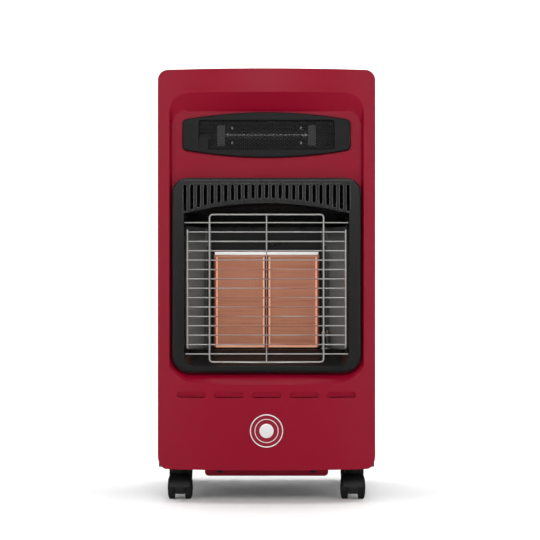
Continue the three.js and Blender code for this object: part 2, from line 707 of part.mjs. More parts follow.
function surroundOutline(inset) {
  return roundedRect(
    -SURROUND_HALF + inset, SURROUND_BOTTOM + inset, SURROUND_HALF - inset, SURROUND_TOP - inset,
    SURROUND_CORNER_TOP - inset, SURROUND_CORNER_BOTTOM - inset);
}

// Fire opening with its arched top, at a distance forward of the back of the funnel.
function fireOutline(forward, grow) {
  const half = FIRE_HALF + FUNNEL_SLOPE_SIDE * forward + grow;
  const bottom = FIRE_BOTTOM - FUNNEL_SLOPE_BOTTOM * forward - grow * Math.hypot(1, FUNNEL_SLOPE_BOTTOM);
  const sideTop = FIRE_SIDE_TOP + FUNNEL_SLOPE_SIDE * forward + grow;
  const rise = FIRE_ARCH_TOP - FIRE_SIDE_TOP;
  const radius = (half ** 2 + rise ** 2) / (2 * rise);
  const corner = FIRE_CORNER + grow;
  const reach = Math.asin(half / radius);
  const shape = new THREE.Shape();
  shape.moveTo(-half + corner, bottom);
  shape.lineTo(half - corner, bottom);
  shape.absarc(half - corner, bottom + corner, corner, -Math.PI / 2, 0, false);
  shape.lineTo(half, sideTop);
  shape.absarc(0, sideTop + rise - radius, radius, Math.PI / 2 - reach, Math.PI / 2 + reach, false);
  shape.lineTo(-half, bottom + corner);
  shape.absarc(-half + corner, bottom + corner, corner, Math.PI, 1.5 * Math.PI, false);
  return shape;
}

// Half width of the opening at a height, narrower in its rounded lower corners.
function fireHalfAt(forward, z) {
  const half = FIRE_HALF + FUNNEL_SLOPE_SIDE * forward;
  const above = z - (FIRE_BOTTOM - FUNNEL_SLOPE_BOTTOM * forward);
  const below = Math.max(FIRE_CORNER - above, 0);
  return half - FIRE_CORNER + Math.sqrt(Math.max(FIRE_CORNER ** 2 - below ** 2, 0));
}

function funnelBlock(grow, overrun) {
  const near = FUNNEL_DEPTH + overrun;
  return loftY([
    [fireOutline(near, grow), FUNNEL_BACK - near], [fireOutline(-overrun, grow), FUNNEL_BACK + overrun]], 4);
}

// Upright vent slots in a row, their lower ends on an arch.
function ventSlots() {
  const slots = [];
  const outermost = (SLOT_COUNT - 1) / 2;
  for (let i = -outermost; i <= outermost; i += 1) {
    const x = i * SLOT_PITCH;
    const bottom = SLOT_BOTTOM - SLOT_ARCH * (i / outermost) ** 2;
    slots.push(alongY(slotOutline(x - SLOT_WIDTH / 2, bottom, x + SLOT_WIDTH / 2, SLOT_TOP),
      SURROUND_FACE - SURROUND_WALL, SURROUND_FACE + 2 * SURROUND_WALL));
  }
  return slots;
}

function frontSurround() {
  const edge = 5;
  const block = roundedFaceBlock(surroundOutline, SURROUND_BACK, SURROUND_FACE, edge);
  const hollow = roundedFaceBlock((inset) => surroundOutline(SURROUND_WALL + inset),
    SURROUND_BACK + SURROUND_WALL, SURROUND_FACE + SURROUND_WALL, edge - SURROUND_WALL, 1);
  const shell = join(cut(block, hollow), funnelBlock(SURROUND_WALL, 0));
  return cut(shell, funnelBlock(0, SURROUND_WALL), ...ventSlots());
}

// Welded guard: level wires behind, upright wires and a rounded ring in front of them.
function wireGuard() {
  const rowY = SURROUND_FACE + GUARD_DEPTH;
  const frontY = rowY - WIRE + 0.5;
  const radius = WIRE / 2;
  const wires = [];
  for (let i = 0; i < GUARD_ROWS; i += 1) {
    const z = GUARD_ROW_TOP - i * (GUARD_ROW_TOP - GUARD_ROW_BOTTOM) / (GUARD_ROWS - 1);
    const reach = fireHalfAt(FUNNEL_BACK - rowY - radius, z - radius) - GAP;
    wires.push(rod([[-reach, rowY, z], [reach, rowY, z]], radius, 1, 6));
  }
  [-1, 1].forEach((side) => {
    wires.push(rod([
      [-side * radius, frontY, GUARD_RING_BOTTOM], [side * GUARD_RING_HALF, frontY, GUARD_RING_BOTTOM],
      [side * GUARD_RING_HALF, frontY, GUARD_RING_TOP], [-side * radius, frontY, GUARD_RING_TOP],
    ], radius, GUARD_RING_CORNER, 6, 3));
    wires.push(rod([
      [side * GUARD_SIDE, frontY, GUARD_SIDE_BOTTOM], [side * GUARD_SIDE, frontY, GUARD_SIDE_TOP],
    ], radius, 1, 6));
  });
  wires.push(rod([[0, frontY, GUARD_RING_BOTTOM], [0, frontY, GUARD_RING_TOP]], radius, 1, 6));
  return join(...wires);
}

// ---------------------------------------------------------------- window of the electric element

// Outline with arched long edges and rounded ends.
function windowOutline(inset) {
  const half = WINDOW_HALF - inset;
  const side = WINDOW_SIDE_HALF_HEIGHT - inset;
  const corner = Math.max(WINDOW_CORNER - inset, 1);
  const chord = half - corner;
  const radius = (chord ** 2 + WINDOW_ARCH ** 2) / (2 * WINDOW_ARCH);
  const reach = Math.asin(chord / radius);
  const quarter = Math.PI / 2;
  const shape = new THREE.Shape();
  shape.absarc(0, WINDOW_MID - side - WINDOW_ARCH + radius, radius, -quarter - reach, -quarter + reach, false);
  shape.absarc(chord, WINDOW_MID - side + corner, corner, -quarter, 0, false);
  shape.absarc(chord, WINDOW_MID + side - corner, corner, 0, quarter, false);
  shape.absarc(0, WINDOW_MID + side + WINDOW_ARCH - radius, radius, quarter - reach, quarter + reach, false);
  shape.absarc(-chord, WINDOW_MID + side - corner, corner, quarter, 2 * quarter, false);
  shape.absarc(-chord, WINDOW_MID - side + corner, corner, 2 * quarter, 3 * quarter, false);
  return shape;
}

function meshOutline(grow) {
  return roundedRect(
    -MESH_HALF - grow, WINDOW_MID - MESH_HALF_HEIGHT - grow, MESH_HALF + grow, WINDOW_MID + MESH_HALF_HEIGHT + grow, 4);
}

const MESH_REBATE = MESH_THICK + 2 * GAP;
const MESH_LAP = 5;           // mesh held behind the bezel all round

function windowBezel() {
  const block = roundedFaceBlock(windowOutline, SURROUND_BACK, FIELD_Y - WINDOW_PROUD, 2.5, 2, 3);
  const sight = loftY([[meshOutline(0), FIELD_Y + 1], [meshOutline(0), FIELD_Y - WINDOW_PROUD / 2],
    [meshOutline(WINDOW_PROUD / 2), FIELD_Y - WINDOW_PROUD - 1]], 2);
  const rebate = alongY(meshOutline(MESH_LAP), SURROUND_BACK - MESH_REBATE, FIELD_Y + 1, 2);
  return cut(block, sight, rebate);
}

// Flat mesh of diamond holes in staggered rows.
function windowMesh() {
  const front = SURROUND_BACK - MESH_REBATE + GAP;
  const plate = alongY(meshOutline(MESH_LAP - GAP), front, front + MESH_THICK, 2);
  const across = Math.floor(MESH_HALF / (MESH_PITCH_X / 2)) - 1;
  const up = Math.floor(MESH_HALF_HEIGHT / (MESH_PITCH_Z / 2)) - 1;
  const wide = MESH_PITCH_X / 2 - MESH_BAR;
  const high = wide * MESH_PITCH_Z / MESH_PITCH_X;
  const holes = [];
  for (let i = -across; i <= across; i += 1) {
    for (let j = -up; j <= up; j += 1) {
      if ((i + j) % 2 === 0) {
        const x = i * MESH_PITCH_X / 2;
        const z = WINDOW_MID + j * MESH_PITCH_Z / 2;
        holes.push(alongY(polygon([[x - wide, z], [x, z - high], [x + wide, z], [x, z + high]]),
          front - MESH_THICK, front + 2 * MESH_THICK));
      }
    }
  }
  return cut(plate, ...holes);
}

// ---------------------------------------------------------------- gas burner

// Ceramic plaque with pressed grooves that part its hole fields.
function plaque(side) {
  const middle = side * (PLAQUE_INNER + PLAQUE_OUTER) / 2;
  const slab = box(middle - PLAQUE_WIDTH / 2, middle + PLAQUE_WIDTH / 2,
    PLAQUE_FRONT, PLAQUE_BACK, PLAQUE_BOTTOM, PLAQUE_TOP);
  const grooves = [];
  for (let i = 1; i <= PLAQUE_GROOVES; i += 1) {
    const z = PLAQUE_BOTTOM + PLAQUE_HEIGHT * i / (PLAQUE_GROOVES + 1);
    grooves.push(box(middle - PLAQUE_WIDTH / 2 + FRAME_LAP + 1, middle + PLAQUE_WIDTH / 2 - FRAME_LAP - 1,
      PLAQUE_FRONT - 1, PLAQUE_FRONT + 0.8, z - 0.8, z + 0.8));
  }
  return cut(slab, ...grooves);
}

// Open-fronted box behind the plaques, with a rim that they rest on.
function burnerChamber() {
  const outer = PLAQUE_OUTER + CHAMBER_RIM;
  const ceiling = PLAQUE_TOP + CHAMBER_RIM;
  const block = box(-outer, outer, CHAMBER_FRONT, CHAMBER_BACK, CHAMBER_FLOOR, ceiling);
  const hollow = box(-outer + SHEET, outer - SHEET, CHAMBER_FRONT + SHEET, CHAMBER_BACK - SHEET,
    CHAMBER_FLOOR + SHEET, ceiling - SHEET);
  const windows = [-1, 1].map((side) => {
    const near = side * (PLAQUE_INNER + CHAMBER_RIM);
    const far = side * (PLAQUE_OUTER - CHAMBER_RIM);
    return box(Math.min(near, far), Math.max(near, far), CHAMBER_FRONT - 1, CHAMBER_FRONT + 2 * SHEET,
      PLAQUE_BOTTOM + CHAMBER_RIM, PLAQUE_TOP - CHAMBER_RIM);
  });
  const inlet = cylinder(VENTURI_RADIUS - VENTURI_WALL, CHAMBER_FLOOR - 1, CHAMBER_FLOOR + 2 * SHEET, 16)
    .translate(0, CHAMBER_MIDDLE, 0);
  return cut(block, hollow, ...windows, inlet);
}

// Bright frame that clamps both plaques, with a slot up its middle.
function burnerFrame() {
  const outer = PLAQUE_OUTER + GAP + SHEET;
  const front = PLAQUE_FRONT - GAP - SHEET;
  const block = box(-outer, outer, front, CHAMBER_FRONT - GAP, PLAQUE_BOTTOM - GAP - SHEET, PLAQUE_TOP + GAP + SHEET);
  const cuts = [-1, 1].flatMap((side) => {
    const middle = side * (PLAQUE_INNER + PLAQUE_OUTER) / 2;
    const half = PLAQUE_WIDTH / 2;
    return [
      box(middle - half - GAP, middle + half + GAP, PLAQUE_FRONT - GAP, CHAMBER_FRONT + 1,
        PLAQUE_BOTTOM - GAP, PLAQUE_TOP + GAP),
      box(middle - half + FRAME_LAP, middle + half - FRAME_LAP, front - 1, PLAQUE_FRONT,
        PLAQUE_BOTTOM + FRAME_LAP, PLAQUE_TOP - FRAME_LAP)];
  });
  const slotHalf = PLAQUE_INNER - GAP - SHEET;
  const slot = box(-slotHalf, slotHalf, front - 1, CHAMBER_FRONT + 1, PLAQUE_BOTTOM, PLAQUE_TOP);
  return cut(block, ...cuts, slot);
}

// Angle strip lying on the frame above the plaques.
function topStrip() {
  const foot = PLAQUE_TOP + SHEET + 2 * GAP;
  const section = folded([
    [PLAQUE_FRONT - STRIP_PROUD, foot + STRIP_HEIGHT], [PLAQUE_FRONT - STRIP_PROUD, foot],
    [CHAMBER_FRONT - GAP, foot]]);
  return alongX(section, -PLAQUE_OUTER, PLAQUE_OUTER);
}

// Side wall of the fire: a fixing flange on the partition, then a flared reflector.
function reflector(side) {
  const back = PARTITION_FRONT - GAP;
  const section = folded([
    [REFLECTOR_INNER - REFLECTOR_FLANGE, back - SHEET], [REFLECTOR_INNER, back - SHEET],
    [FIRE_HALF - GAP, FUNNEL_BACK + GAP]]);
  const wall = alongZ(section, SHELF_TOP + GAP, PLAQUE_TOP + HOOD_RISE - GAP);
  return side > 0 ? toGeometry(solid(wall)) : toGeometry(solid(wall).mirror([1, 0, 0]));
}

// Sloped roof of the fire.
function fireHood() {
  const back = PARTITION_FRONT - GAP;
  const root = PLAQUE_TOP + HOOD_RISE;
  return alongX(folded([
    [FUNNEL_BACK + GAP, FIRE_ARCH_TOP + SURROUND_WALL / 2], [back, root], [back, root + FLANGE],
  ]), -FIRE_HALF, FIRE_HALF);
}

// Floor of the fire, level under the burner and falling to the lip of the surround.
function fireShelf() {
  const back = PARTITION_FRONT - GAP;
  const plate = alongX(folded([
    [back, SHELF_TOP - SHELF_FLANGE], [back, SHELF_TOP], [PLAQUE_FRONT - SHELF_LEVEL, SHELF_TOP],
    [FUNNEL_BACK + GAP, FIRE_BOTTOM]]), -FIRE_HALF, FIRE_HALF);
  const pass = (x, y, radius) => cylinder(radius, SHELF_TOP - FLANGE, SHELF_TOP + 1, 12).translate(x, y, 0);
  return cut(plate, pass(0, CHAMBER_MIDDLE, VENTURI_RADIUS + 2 * GAP),
    pass(PILOT_X, PILOT_Y, PILOT_PIPE + 2 * GAP), pass(LEAD_X, LEAD_Y, LEAD_RADIUS + 2 * GAP));
}

// Mixing tube: flared mouth with air ports, level run and elbow up into the chamber.
function venturiTube() {
  const mouth = VENTURI_LENGTH;
  const bend = VENTURI_RADIUS + 2;
  const run = (radius, over) => rod([
    [mouth + over, CHAMBER_MIDDLE, VENTURI_Z], [0, CHAMBER_MIDDLE, VENTURI_Z],
    [0, CHAMBER_MIDDLE, CHAMBER_FLOOR - GAP + over]], radius, bend, 10);
  const inner = VENTURI_RADIUS - VENTURI_WALL;
  const flare = toX(turned([
    [inner, mouth - 12], [VENTURI_RADIUS, mouth - 12], [VENTURI_RADIUS + VENTURI_WALL, mouth - 3],
    [VENTURI_RADIUS + VENTURI_WALL, mouth], [inner, mouth], [inner, mouth - 12]], 10))
    .translate(0, CHAMBER_MIDDLE, VENTURI_Z);
  const ports = box(mouth - 26, mouth - 15, CHAMBER_MIDDLE - 2.5, CHAMBER_MIDDLE + 2.5,
    VENTURI_Z - 2 * VENTURI_RADIUS, VENTURI_Z + 2 * VENTURI_RADIUS);
  return cut(join(run(VENTURI_RADIUS, 0), flare), run(inner, 2), ports);
}

// Brass jet: six-sided body against the partition, nose inside the mouth of the mixing tube.
function injector() {
  const body = toX(cylinder(INJECTOR_HEX, INJECTOR_START, INJECTOR_END, 6));
  const nose = toX(turned([
    [0, VENTURI_LENGTH - 8], [1.6, VENTURI_LENGTH - 8], [3.4, VENTURI_LENGTH - 4],
    [3.4, INJECTOR_START + 1], [0, INJECTOR_START + 1]], 12));
  const bore = toX(cylinder(0.8, VENTURI_LENGTH - 10, INJECTOR_END + 1, 8));
  return cut(join(body, nose), bore).translate([0, CHAMBER_MIDDLE, VENTURI_Z]);
}

// ---------------------------------------------------------------- gas train

function gasPipe() {
  return rod([
    [KNOB_X, CONTROL_Y - VALVE_RADIUS - VALVE_PORT - GAP, MAIN_PORT_Z],
    [KNOB_X, PARTITION_BACK + PIPE_RADIUS + GAP, MAIN_PORT_Z],
    [KNOB_X, PARTITION_BACK + PIPE_RADIUS + GAP, VENTURI_Z],
    [KNOB_X, CHAMBER_MIDDLE, VENTURI_Z],
    [INJECTOR_END + GAP, CHAMBER_MIDDLE, VENTURI_Z]], PIPE_RADIUS, PIPE_BEND, 6, 3);
}

function pilotPipe() {
  const x = KNOB_X - PILOT_PORT_OFFSET;
  const back = PARTITION_BACK + PILOT_PIPE + GAP;
  const low = VENTURI_Z - PILOT_PIPE_DROP;
  return rod([
    [x, CONTROL_Y - VALVE_RADIUS - VALVE_PORT - GAP, PILOT_PORT_Z], [x, back, PILOT_PORT_Z],
    [x, back, low], [x, PILOT_Y, low], [PILOT_X, PILOT_Y, low], [PILOT_X, PILOT_Y, SHELF_TOP]],
  PILOT_PIPE, PIPE_BEND, 6, 3);
}

// Pilot: a foot plate on the shelf, a tube and a hooded nozzle turned to the plaque.
function pilotBurner() {
  const foot = SHELF_TOP + GAP;
  const plate = box(PILOT_X - PILOT_RADIUS - 0.5, LEAD_X + 4, LEAD_Y - ELECTRODE_PITCH - 5, PILOT_Y + 11, foot, foot + SHEET);
  const tube = turned([
    [0, foot], [PILOT_RADIUS - 1, foot], [PILOT_RADIUS - 1, foot + 18], [PILOT_RADIUS, foot + 20],
    [PILOT_RADIUS, foot + 28], [PILOT_RADIUS - 1.5, foot + 30], [0, foot + 30]], 10).translate(PILOT_X, PILOT_Y, 0);
  const mouth = box(PILOT_X - 2 * PILOT_RADIUS, PILOT_X - 1, PILOT_Y - 1.5, PILOT_Y + 1.5, foot + 22, foot + 27);
  const pass = (y, radius) => cylinder(radius, foot - 1, foot + 2 * SHEET, 12).translate(LEAD_X, y, 0);
  return cut(join(plate, tube), mouth, pass(LEAD_Y, TIP_RADIUS + GAP), pass(LEAD_Y - ELECTRODE_PITCH, ELECTRODE_RADIUS + GAP));
}

// Flame probe: its tip stands in the foot plate and its lead runs back and up to the valve.
function thermocouple() {
  const back = PARTITION_BACK + LEAD_RADIUS + GAP;
  const lead = rod([
    [LEAD_X, LEAD_Y, SHELF_TOP + 2], [LEAD_X, LEAD_Y, LEAD_LOW], [LEAD_X, back, LEAD_LOW], [LEAD_X, back, PROBE_PORT_Z],
    [LEAD_X, CONTROL_Y, PROBE_PORT_Z], [KNOB_X - VALVE_RADIUS - VALVE_PORT - GAP, CONTROL_Y, PROBE_PORT_Z]],
  LEAD_RADIUS, 4, 6, 3);
  const foot = SHELF_TOP + GAP;
  const end = foot + PROBE_LENGTH;
  const shoulder = end - PROBE_TIP;
  const tip = turned([
    [0, foot], [TIP_RADIUS, foot], [TIP_RADIUS, shoulder - 1], [TIP_RADIUS - 0.8, shoulder],
    [TIP_RADIUS - 0.8, end - 1], [0, end]], 10).translate(LEAD_X, LEAD_Y, 0);
  return join(lead, tip);
}

// Spark electrode: a ribbed insulator with a wire bent to the pilot.
function sparkElectrode() {
  const y = LEAD_Y - ELECTRODE_PITCH;
  const foot = SHELF_TOP + GAP;
  const insulator = turned([
    [0, foot], [ELECTRODE_RADIUS, foot], [ELECTRODE_RADIUS, foot + 4], [ELECTRODE_RADIUS + 1.2, foot + 5],
    [ELECTRODE_RADIUS + 1.2, foot + 7], [ELECTRODE_RADIUS, foot + 8], [ELECTRODE_RADIUS, foot + 20],
    [0, foot + 20]], 10).translate(LEAD_X, y, 0);
  const wire = rod([
    [LEAD_X, y, foot + 15], [LEAD_X, y, foot + 26], [PILOT_X + PILOT_RADIUS + 1.5, PILOT_Y - 2, foot + 26]], 0.8, 2, 6, 2);
  return join(insulator, wire);
}

// Gas valve: body with a threaded neck, outlet ports and a counterbore for the collar.
function gasValve() {
  const top = WELL_UNDER - GAP;
  const body = turned([
    [0, VALVE_BOTTOM], [VALVE_RADIUS, VALVE_BOTTOM], [VALVE_RADIUS, top - 12], [9, top - 10],
    [9, top - 4], [12, top - 4], [12, top], [0, top]], 14).translate(KNOB_X, CONTROL_Y, 0);
  const port = (x, z, radius) => cylinder(radius, 0, VALVE_RADIUS + VALVE_PORT, 8)
    .rotateX(Math.PI / 2).translate(x, CONTROL_Y, z);
  const probe = cylinder(3.5, 0, VALVE_RADIUS + VALVE_PORT, 8).rotateY(-Math.PI / 2)
    .translate(KNOB_X, CONTROL_Y, PROBE_PORT_Z);
  const bore = turned([
    [0, top - 13], [SPINDLE_RADIUS + GAP, top - 13], [SPINDLE_RADIUS + GAP, top - 5],
    [COLLAR_RADIUS + GAP, top - 5], [COLLAR_RADIUS + GAP, top + 1], [0, top + 1]], 14).translate(KNOB_X, CONTROL_Y, 0);
  const inlet = cylinder(6, VALVE_BOTTOM - 5, VALVE_BOTTOM + 1, 6).translate(KNOB_X, CONTROL_Y, 0);
  return cut(join(body, inlet, port(KNOB_X, MAIN_PORT_Z, 5), port(KNOB_X - PILOT_PORT_OFFSET, PILOT_PORT_Z, 3.5), probe), bore);
}

// Barbed nozzle that takes the hose from the bottle.
function gasInlet() {
  const top = VALVE_BOTTOM - 5 - GAP;
  const profile = [[0, top], [6, top], [6, top - 5], [3.6, top - 5]];
  for (let i = 0; i < BARBS; i += 1) {
    const z = top - 5 - 2 - i * 5;
    profile.push([3.6, z], [4.8, z - 0.4], [3.6, z - 4.2]);
  }
  const tail = top - 7 - BARBS * 5;
  profile.push([3.4, tail], [0, tail]);
  const nozzle = turned(profile.reverse(), 10);
  const bore = cylinder(2.2, tail - 1, top - 1.5, 6);
  return cut(nozzle, bore).translate([KNOB_X, CONTROL_Y, 0]);
}

// ---------------------------------------------------------------- electric element

const TROUGH_MOUTH = FIELD_BACK + GAP;
const TUBE_Y = TROUGH_MOUTH + TUBE_FORWARD;

// Parabolic trough behind the window, with its two fixing flanges.
function elementTrough() {
  const corners = [[TROUGH_MOUTH, WINDOW_MID - TROUGH_HALF_HEIGHT - TROUGH_FLANGE]];
  const steps = 10;
  for (let i = 0; i <= steps; i += 1) {
    const across = 2 * i / steps - 1;
    corners.push([TROUGH_MOUTH + TROUGH_DEPTH * (1 - across ** 2), WINDOW_MID + across * TROUGH_HALF_HEIGHT]);
  }
  corners.push([TROUGH_MOUTH, WINDOW_MID + TROUGH_HALF_HEIGHT + TROUGH_FLANGE]);
  const section = folded(corners.reverse(), SHEET);
  return alongX(section, -MESH_HALF - MESH_LAP, MESH_HALF + MESH_LAP);
}

function quartzTube() {
  return toX(cylinder(TUBE_RADIUS, -TUBE_LENGTH / 2, TUBE_LENGTH / 2, 20)).translate(0, TUBE_Y, WINDOW_MID);
}

// Ceramic end block with a blind socket for the tube.
function tubeHolder(side) {
  const socket = TUBE_LENGTH / 2 + GAP;
  const near = socket - HOLDER_SOCKET;
  const far = near + HOLDER_LENGTH;
  const block = side > 0
    ? box(near, far, TUBE_Y - HOLDER_DEPTH / 2, TUBE_Y + HOLDER_DEPTH / 2,
      WINDOW_MID - HOLDER_HEIGHT / 2, WINDOW_MID + HOLDER_HEIGHT / 2)
    : box(-far, -near, TUBE_Y - HOLDER_DEPTH / 2, TUBE_Y + HOLDER_DEPTH / 2,
      WINDOW_MID - HOLDER_HEIGHT / 2, WINDOW_MID + HOLDER_HEIGHT / 2);
  const bore = toX(cylinder(TUBE_RADIUS + 2 * GAP, -socket, socket, 24)).translate(0, TUBE_Y, WINDOW_MID);
  return cut(block, bore);
}

// ---------------------------------------------------------------- cabinet

// Folded side panel with air slots near its top.
function sidePanel(side) {
  const foot = BASE_TOP + GAP;
  const pan = cut(
    box(HALF - FLANGE, HALF, BODY_FRONT, BODY_BACK, foot, SIDE_TOP),
    box(HALF - FLANGE - 1, HALF - SHEET, BODY_FRONT + SHEET, BODY_BACK - SHEET, foot + SHEET, SIDE_TOP - SHEET));
  const slots = [];
  for (let i = 0; i < SIDE_SLOT_COUNT; i += 1) {
    const z = SIDE_SLOT_TOP - i * SIDE_SLOT_PITCH;
    slots.push(alongX(slotOutline(SIDE_SLOT_FRONT, z, SIDE_SLOT_FRONT + SIDE_SLOT_LENGTH, z + SIDE_SLOT_HEIGHT),
      HALF - 2 * SHEET, HALF + 1));
  }
  const panel = cut(pan, ...slots);
  return side > 0 ? panel : panel.mirror([1, 0, 0]);
}

const CASTOR_PLACES = [
  ['front_left', -CASTOR_FRONT_X, CASTOR_FRONT_Y], ['front_right', CASTOR_FRONT_X, CASTOR_FRONT_Y],
  ['back_left', -CASTOR_BACK_X, CASTOR_BACK_Y], ['back_right', CASTOR_BACK_X, CASTOR_BACK_Y]];

// Base with upturned front and back edges, castor holes and vents that let gas fall out.
function baseTray() {
  const rim = HALF - FLANGE - GAP;
  const rimTop = BASE_TOP + RIM_HEIGHT;
  const trough = alongX(polygon([
    [BODY_FRONT, BASE_BOTTOM], [BODY_BACK, BASE_BOTTOM], [BODY_BACK, rimTop], [BODY_BACK - SHEET, rimTop],
    [BODY_BACK - SHEET, BASE_TOP], [BODY_FRONT + SHEET, BASE_TOP], [BODY_FRONT + SHEET, rimTop],
    [BODY_FRONT, rimTop]]), -HALF, HALF);
  const corners = [[-HALF - 1, -rim], [rim, HALF + 1]]
    .map(([x0, x1]) => box(x0, x1, BODY_FRONT - 1, BODY_BACK + 1, BASE_TOP, rimTop + 1));
  const holes = CASTOR_PLACES.map(([, x, y]) => cylinder(STEM_RADIUS + 2 * GAP, BASE_BOTTOM - 1, BASE_TOP + 1, 12)
    .translate(x, y, 0));
  const vents = [];
  for (let row = 0; row < 2; row += 1) {
    for (let i = 0; i < BASE_VENT_COUNT; i += 1) {
      const x = (i - (BASE_VENT_COUNT - 1) / 2) * BASE_VENT_PITCH;
      const y = BASE_VENT_FRONT + row * (BASE_VENT_LENGTH + BASE_VENT_PITCH);
      vents.push(alongZ(slotOutline(x - BASE_VENT_WIDTH / 2, y, x + BASE_VENT_WIDTH / 2, y + BASE_VENT_LENGTH),
        BASE_BOTTOM - 1, BASE_TOP + 1));
    }
  }
  return cut(trough, ...corners, ...holes, ...vents);
}

// Upright sheet between the burner and the bottle, with backward side folds and pipe holes.
function partition() {
  const half = HALF - SHEET - GAP;
  const foot = BASE_TOP + SHEET + 2 * GAP;
  const head = SIDE_TOP - SHEET - GAP;
  const sheet = box(-half, half, PARTITION_FRONT, PARTITION_BACK, foot, head);
  const folds = [[-half, -half + SHEET], [half - SHEET, half]]
    .map(([x0, x1]) => box(x0, x1, PARTITION_FRONT, PARTITION_BACK + FLANGE, foot, head));
  const hole = (x, z, halfWidth, halfHeight) => alongY(
    slotOutline(x - halfWidth, z - halfHeight, x + halfWidth, z + halfHeight), PARTITION_FRONT - 1, PARTITION_BACK + 1);
  const air = [];
  for (let i = 0; i < AIR_SLOT_COUNT; i += 1) {
    const x = (i - (AIR_SLOT_COUNT - 1) / 2) * AIR_SLOT_PITCH;
    air.push(hole(x, AIR_SLOT_Z, AIR_SLOT_WIDTH / 2, AIR_SLOT_HEIGHT / 2));
  }
  return cut(join(sheet, ...folds), hole(KNOB_X, VENTURI_Z + 2, 4, 9), hole(LEAD_X, LEAD_LOW, 3, 6),
    hole(KNOB_X - PILOT_PORT_OFFSET, VENTURI_Z - PILOT_PIPE_DROP + 2, 3.5, 8), ...air);
}

// Lift-off back with rounded edges and two groups of vent slots.
function rearCover() {
  const outline = (inset) => roundedRect(
    -HALF + BACK_COVER_SIDE + inset, BACK_COVER_BOTTOM + inset, HALF - BACK_COVER_SIDE - inset, BACK_COVER_TOP - inset,
    BACK_COVER_CORNER - inset);
  const edge = 5;
  const face = DEPTH / 2;
  const block = roundedFaceBlock(outline, BODY_BACK + GAP, face, edge, 2, 2);
  const hollow = roundedFaceBlock(
    (inset) => outline(SHEET + inset), BODY_BACK - SHEET, face - SHEET, edge - SHEET, 1, 2);
  const slots = [];
  [BACK_SLOT_LOW, BACK_SLOT_HIGH].forEach((start) => {
    for (let i = 0; i < BACK_SLOT_ROWS; i += 1) {
      [-1, 1].forEach((side) => {
        const x = side * (BACK_SLOT_LENGTH / 2 + BACK_SLOT_GAP / 2);
        const z = start + i * BACK_SLOT_PITCH;
        slots.push(alongY(slotOutline(x - BACK_SLOT_LENGTH / 2, z, x + BACK_SLOT_LENGTH / 2, z + BACK_SLOT_HEIGHT),
          face - 2 * SHEET, face + 1));
      });
    }
  });
  return cut(block, hollow, ...slots);
}

// Top cover: a shallow lid with rounded sides, warm-air slots in front and the control well behind.
function topCover() {
  const lid = (inset) => roundedRect(
    -HALF + inset, TOP_COVER_BOTTOM - (inset > 0 ? PLASTIC : 0), HALF - inset, TOP_COVER_TOP - inset, TOP_CORNER - inset, 0);
  const outer = alongY(lid(0), BODY_FRONT, BODY_BACK, 4);
  const inner = alongY(lid(PLASTIC), BODY_FRONT + PLASTIC, BODY_BACK - PLASTIC, 4);
  const well = (grow) => alongZ(roundedRect(
    WELL_LEFT - grow, WELL_FRONT - grow, WELL_RIGHT + grow, WELL_BACK + grow, WELL_CORNER + grow),
  WELL_FLOOR - grow, HEIGHT + RIM_HEIGHT, 2);
  const floorHole = (x, radius) => cylinder(radius, WELL_UNDER - 1, WELL_FLOOR + 1, 20).translate(x, CONTROL_Y, 0);
  const holes = SWITCH_X.map((x) => box(
    x - CAN_HALF - GAP, x + CAN_HALF + GAP, CONTROL_Y - CAN_LENGTH / 2 - GAP, CONTROL_Y + CAN_LENGTH / 2 + GAP,
    WELL_UNDER - 1, WELL_FLOOR + 1));
  holes.push(floorHole(KNOB_X, COLLAR_RADIUS + GAP), floorHole(IGNITER_X, BUTTON_RADIUS + GAP));
  holes.push(box(
    INLET_X - INLET_HALF + INLET_RIM - GAP, INLET_X + INLET_HALF - INLET_RIM + GAP, BODY_BACK - 2 * PLASTIC, BODY_BACK + 1,
    INLET_Z - INLET_HIGH + INLET_RIM - GAP, INLET_Z + INLET_HIGH - INLET_RIM + GAP));
  for (let i = 0; i < TOP_SLOT_COUNT; i += 1) {
    const x = (i - (TOP_SLOT_COUNT - 1) / 2) * TOP_SLOT_PITCH;
    holes.push(alongZ(
      slotOutline(x - TOP_SLOT_WIDTH / 2, TOP_SLOT_FRONT, x + TOP_SLOT_WIDTH / 2, TOP_SLOT_FRONT + TOP_SLOT_LENGTH),
      TOP_COVER_TOP - 2 * PLASTIC, TOP_COVER_TOP + 1));
  }
  return cut(cut(outer, well(0)), cut(inner, well(PLASTIC)), ...holes);
}

// ---------------------------------------------------------------- controls

// Collar that the valve spring pushes up under the knob; it slides and does not turn.
function returnCollar() {
  const foot = WELL_UNDER - COLLAR_HEIGHT / 2;
  return turned([
    [SPINDLE_RADIUS + GAP, foot], [COLLAR_RADIUS, foot], [COLLAR_RADIUS, foot + COLLAR_HEIGHT],
    [SPINDLE_RADIUS + GAP, foot + COLLAR_HEIGHT], [SPINDLE_RADIUS + GAP, foot]], 16).translate(KNOB_X, CONTROL_Y, 0);
}

const KNOB_FOOT = WELL_FLOOR + PUSH_TRAVEL + GAP;
const KNOB_BORE = KNOB_HEIGHT - 4;

// Spindle with a flat for the knob.
function valveSpindle() {
  const foot = WELL_UNDER - GAP - 13 + PUSH_TRAVEL + GAP;
  const top = KNOB_FOOT + KNOB_BORE - GAP;
  const shaft = cylinder(SPINDLE_RADIUS, foot, top, 16).translate(KNOB_X, CONTROL_Y, 0);
  const flat = box(KNOB_X - 5, KNOB_X + 5, CONTROL_Y + SPINDLE_FLAT, CONTROL_Y + 5, KNOB_FOOT + 3, top + 1);
  return cut(shaft, flat);
}

